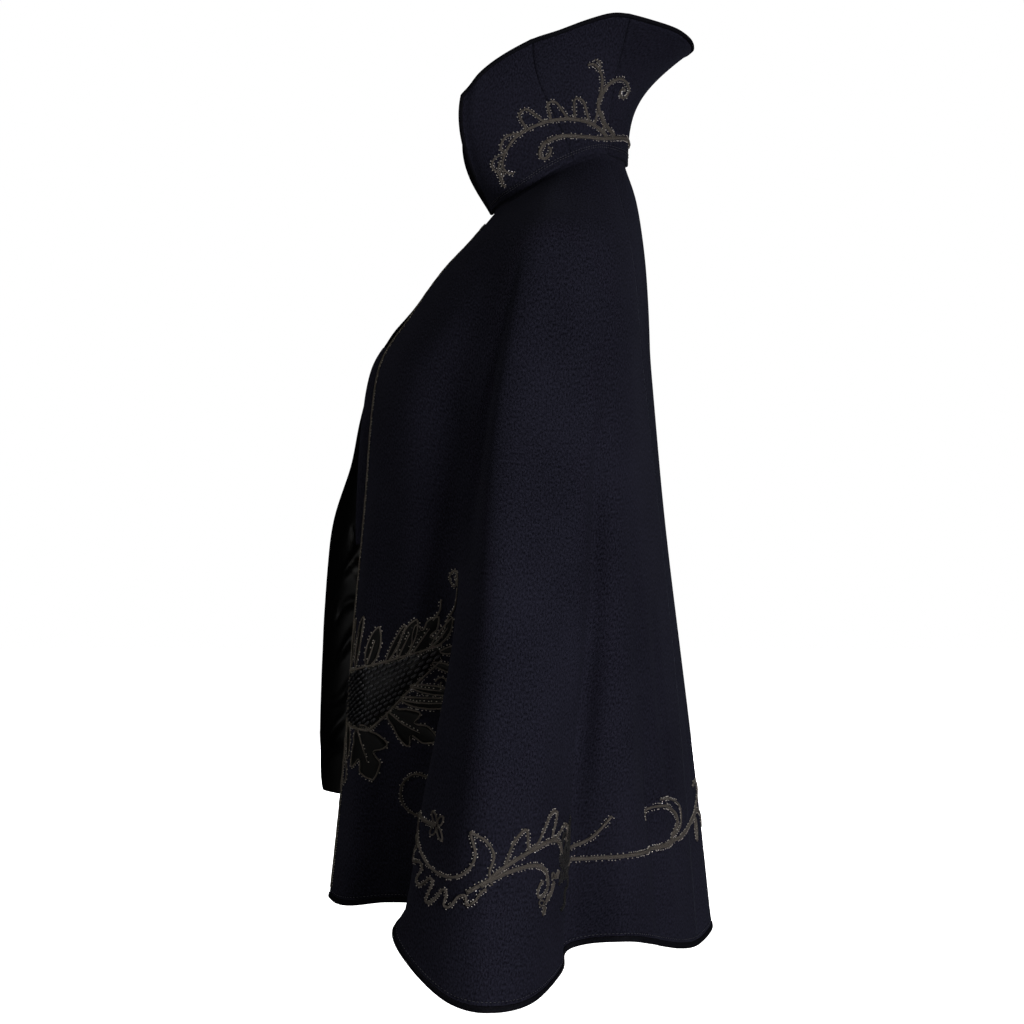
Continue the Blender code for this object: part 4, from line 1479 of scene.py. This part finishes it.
@dataclass
class Hem:
    """The binding that wraps the wool's lower edge, and the stitches above it."""

    panels: WoolPanels
    height: float = 0.0056

    def run(self, key: str) -> Run:
        """The hem of one piece, with its outward and downward directions."""
        grid = self.panels.made[key]
        out = grid_normals(grid)[-1]
        down = unit(grid[-1] - grid[-2])
        return Run(grid[-1], out, down)

    def dress(self) -> None:
        """Build the bindings and the stitches."""
        w, top = WOOL_WALL, -self.height
        profile = [(0.0003, top), (0.0011, top + 0.0006), (0.0013, -0.0006), (0.0007, 0.0008),
                   (-w / 2, 0.0013), (-w - 0.0007, 0.0008), (-w - 0.0013, -0.0006),
                   (-w - 0.0011, top + 0.0006), (-w - 0.0003, top), (-w - 0.0003, 0.0002),
                   (0.0003, 0.0002)]
        for side in Side:
            piece = sweep(f"hem_edge_{side.word}", [self.run("front")], profile,
                          side is Side.RIGHT)
            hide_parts(f"hem_binding_{side.word}")
            dress(piece, BINDING)
        piece = sweep("hem_edge_back", [self.run("back")], profile)
        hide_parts("hem_binding_back")
        dress(piece, BINDING)
        dress(self.stitches(), THREAD)

    def stitches(self) -> bpy.types.Object:
        """One row of small stitches round the hem."""
        spots = Spots()
        for key in ("front", "back"):
            grid = self.panels.made[key]
            line = grid[-3] * 0.4 + grid[-2] * 0.6
            out = grid_normals(grid)[-3]
            reach = travel(line)
            at = np.arange(0.003, reach[-1], 0.0042)
            here, way = (np.column_stack([np.interp(at, reach, v[:, k]) for k in range(3)])
                         for v in (line, out))
            ahead = np.gradient(here, axis=0)
            spots.add(here, ahead, way, STITCH)
            if key == "front":
                spots.add(turned_over(here), turned_over(ahead), turned_over(way), STITCH)
        return spots.piece("hem_stitching")


# The satin lappets

@dataclass
class Lappets:
    """The two satin lappets that fill the front between the wool's edges."""

    rows: int = 190
    columns: int = 62
    # wrinkles: share across and share down at each end, half width and depth in metres
    wrinkles: tuple[tuple[float, ...], ...] = (
        (0.72, 0.545, 0.98, 0.600, 0.0055, -0.0045),
        (0.60, 0.600, 0.92, 0.565, 0.0060, 0.0040),
        (0.50, 0.655, 0.96, 0.630, 0.0055, -0.0040),
        (0.66, 0.705, 1.00, 0.665, 0.0060, 0.0036),
        (0.40, 0.760, 0.90, 0.735, 0.0060, -0.0036),
        (0.45, 0.815, 0.95, 0.770, 0.0065, 0.0036),
        (0.30, 0.845, 0.80, 0.815, 0.0060, -0.0034),
        (0.25, 0.300, 0.34, 0.640, 0.0150, -0.0012),
        (0.55, 0.360, 0.62, 0.520, 0.0140, 0.0010),
    )

    def lines(self) -> tuple[np.ndarray, np.ndarray, np.ndarray]:
        """The smooth satin, its share across and its share down the cape."""
        levels = np.concatenate([np.linspace(0.03, 0.8, self.rows - 26, endpoint=False),
                                 np.linspace(0.8, LAPPET_END, 26)])
        u = np.concatenate([np.linspace(0, 1, self.columns - 6), np.linspace(1, 1.33, 7)[1:]])
        points = np.zeros((len(levels), len(u), 3))
        for i, drop in enumerate(levels):
            level = np.full(len(u), drop)
            if drop > 0.8:
                end = LAPPET_END - 0.07 * np.clip((0.45 - u) / 0.45, 0, None) ** 2
                level = 0.8 + (drop - 0.8) / (LAPPET_END - 0.8) * (end - 0.8)
            for value in np.unique(level):
                mine = level == value
                points[i, mine] = self.line(value, u[mine])
        return points, np.broadcast_to(u, points.shape[:2]), np.broadcast_to(
            levels[:, None], points.shape[:2])

    @staticmethod
    def line(level: float, u: np.ndarray) -> np.ndarray:
        """Points across at one level, the last of them tucked behind the wool."""
        edge = spline(EDGES, level)[0, 0]
        a, b = FORM.row(np.array([edge, edge + 1.0]), level)
        step = np.linalg.norm(b - a)
        inward = unit((np.array([0, 0, a[2]]) - a)[None])[0]
        tucked = FORM.row(np.array([edge + 0.006 / step]), level)[0] + inward * 0.0032
        beside = FORM.row(np.array([edge - 0.003 / step]), level)[0] + inward * 0.0036
        centre = np.array([0.0025, spline(LAPPET, beside[2])[0, 0], beside[2]])
        inner, outer = np.minimum(u, 1)[:, None], np.clip((u - 1) / 0.33, 0, 1)[:, None]
        bulge = 0.006 * np.sin(np.pi * inner) * min(1.0, level / 0.3)
        return (centre + (beside - centre) * inner + np.array([0.3, -0.95, 0]) * bulge
                + (tucked - beside) * outer)

    def creased(self) -> np.ndarray:
        """The satin's outer face with its wrinkles."""
        points, u, level = self.lines()
        out = grid_normals(points)
        width = np.linalg.norm(points[:, -7] - points[:, 0], axis=1)[:, None]
        push = np.zeros(u.shape)
        for u0, d0, u1, d1, half, depth in self.wrinkles:
            ax, ay = (u - u0) * width, (level - d0) * CLOTH_LENGTH
            bx, by = (u1 - u0) * width, (d1 - d0) * CLOTH_LENGTH
            share = np.clip((ax * bx + ay * by) / (bx * bx + by * by), 0, 1)
            bow = 0.008 * np.sin(np.pi * share) * math.sin(31 * d0)
            away = np.hypot(ax - bx * share, ay - by * share + bow)
            size = half * (0.7 + 0.5 * share)
            push += depth * np.sin(np.pi * (0.12 + 0.76 * share)) * np.exp(-(away / size) ** 2)
        push += 0.0004 * np.sin(level * 88 + 3.1 * u) * np.sin(7.3 * u + 21 * level)
        held = np.clip((1.0 - u) / 0.10, 0, 1) * np.clip((u + 0.02) / 0.08, 0, 1)
        return points + out * (push * held * np.clip((level - 0.03) / 0.1, 0, 1))[..., None]

    def dress(self) -> None:
        """Build both lappets and finish them."""
        grid = self.creased()
        for side in Side:
            piece = cloth(f"satin_lappet_{side.word}", grid, grid - grid_normals(grid) * 0.0010,
                          grid_uv(grid), side is Side.RIGHT)
            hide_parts(f"lappet_{side.word}")
            dress(piece, SATIN)


# The studio

COOL = (0.99, 0.98, 1.02)
WARM = (1.02, 1.0, 0.95)
FAR = (0.98, 0.98, 1.03)
LAMPS = (
    # name, place, size, power, tint, whether it may show as a gleam
    ("key", (2.65, 1.75, -0.5), 0.9, 148, COOL, True),
    ("soft_key", (3.1, 0.4, -0.38), 1.1, 12, COOL, True),
    ("front_fill", (1.8, -2.8, -0.2), 1.4, 20, WARM, True),
    ("top", (0.5, 0.3, 3.0), 1.4, 26, (1.05, 1.0, 0.9), True),
    ("front", (-0.9, -3.2, 0.3), 1.8, 42, WARM, False),
    ("front_gleam", (0.1, -3.3, -0.5), 0.8, 3, (1.0, 1.0, 1.0), True),
    ("back", (-2.7, 2.2, 0.4), 1.8, 60, FAR, False),
    ("far_side", (-3.1, -0.2, 0.0), 1.4, 120, FAR, False),
)


@dataclass
class Studio:
    """A plain pale floor, a white world and soft lamps, seen from the wearer's left."""

    floor: float = -0.95
    camera: tuple[float, float, float] = (2.5, -0.0539, -0.364)
    lens: float = 78.2
    aim: tuple[float, float, float] = (0.0, 0.0, -0.4)

    def plane(self, name: str, centre: tuple[float, float, float],
              size: float) -> bpy.types.Object:
        """A level square of the stage."""
        bpy.ops.object.select_all(action="DESELECT")
        bpy.ops.mesh.primitive_plane_add(size=size)
        piece = bpy.context.object
        piece.name = name
        bpy.ops.transform.translate(value=centre)
        bpy.ops.object.transform_apply(location=True, rotation=True, scale=True)
        piece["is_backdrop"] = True
        return piece

    def lamp(self, name: str, place: tuple[float, float, float], size: float, power: float,
             tint: tuple[float, float, float], shines: bool) -> None:
        """One soft square lamp, aimed at the cape; it shines if it may show as a gleam."""
        data = bpy.data.lights.new(name, "AREA")
        data.shape, data.size, data.energy = "SQUARE", size, power
        data.color = tint
        lamp = bpy.data.objects.new(name, data)
        bpy.context.scene.collection.objects.link(lamp)
        way = np.array(self.aim) - np.array(place)
        lamp.location = place
        lamp.visible_glossy = shines
        lamp.rotation_euler = Vector(way).to_track_quat("-Z", "Y").to_euler()
        lamp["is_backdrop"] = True

    def set_up(self) -> None:
        """Make the floor, the lamps, the world and the camera."""
        floor = self.plane("floor", (0, 0, self.floor), 14.0)
        paper = bpy.data.materials.new("stage_paper")
        paper.use_nodes = True
        shader = paper.node_tree.nodes["Principled BSDF"]
        shader.inputs["Base Color"].default_value = (0.80, 0.80, 0.80, 1)
        shader.inputs["Roughness"].default_value = 0.9
        shader.inputs["Emission Color"].default_value = (1, 1, 1, 1)
        shader.inputs["Emission Strength"].default_value = 1.0
        floor.data.materials.append(paper)
        floor.visible_diffuse = floor.visible_glossy = False
        for values in LAMPS:
            self.lamp(*values)
        world = bpy.data.worlds.new("studio")
        world.use_nodes = True
        world.node_tree.nodes["Background"].inputs["Color"].default_value = (1, 1, 1, 1)
        world.node_tree.nodes["Background"].inputs["Strength"].default_value = 1.0
        world.cycles_visibility.diffuse = False
        world.cycles_visibility.glossy = False
        bpy.context.scene.world = world
        bpy.context.scene.view_settings.view_transform = "Standard"
        data = bpy.data.cameras.new("camera")
        data.lens, data.sensor_width = self.lens, 36.0
        camera = bpy.data.objects.new("camera", data)
        camera.location = self.camera
        camera.rotation_euler = (math.pi / 2, 0.0, math.pi / 2)
        bpy.context.scene.collection.objects.link(camera)
        bpy.context.scene.camera = camera
        camera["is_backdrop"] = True


def write_size(first: Sequence, last: Sequence) -> None:
    """Gather the bounds of the solids and of the finished cape into a table, which is not kept."""
    plain = lambda box: [[float(v) for v in corner] for corner in box]
    {"cad": plain(first), "visual": plain(last)}


def main() -> None:
    """Build the cape and its studio."""
    logging.basicConfig(level=logging.INFO, format="%(name)s %(message)s")
    panels = WoolPanels()
    panels.dress()
    FrontBands().dress()
    Collar().dress()
    Lappets().dress()
    Hem(panels).dress()
    skin = Skin()
    FrontMotif(skin).dress()
    HemVine(skin).dress()
    CollarVine().dress()
    Studio().set_up()
    write_size(CAD_BOX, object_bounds())


if __name__ == "__main__":
    main()
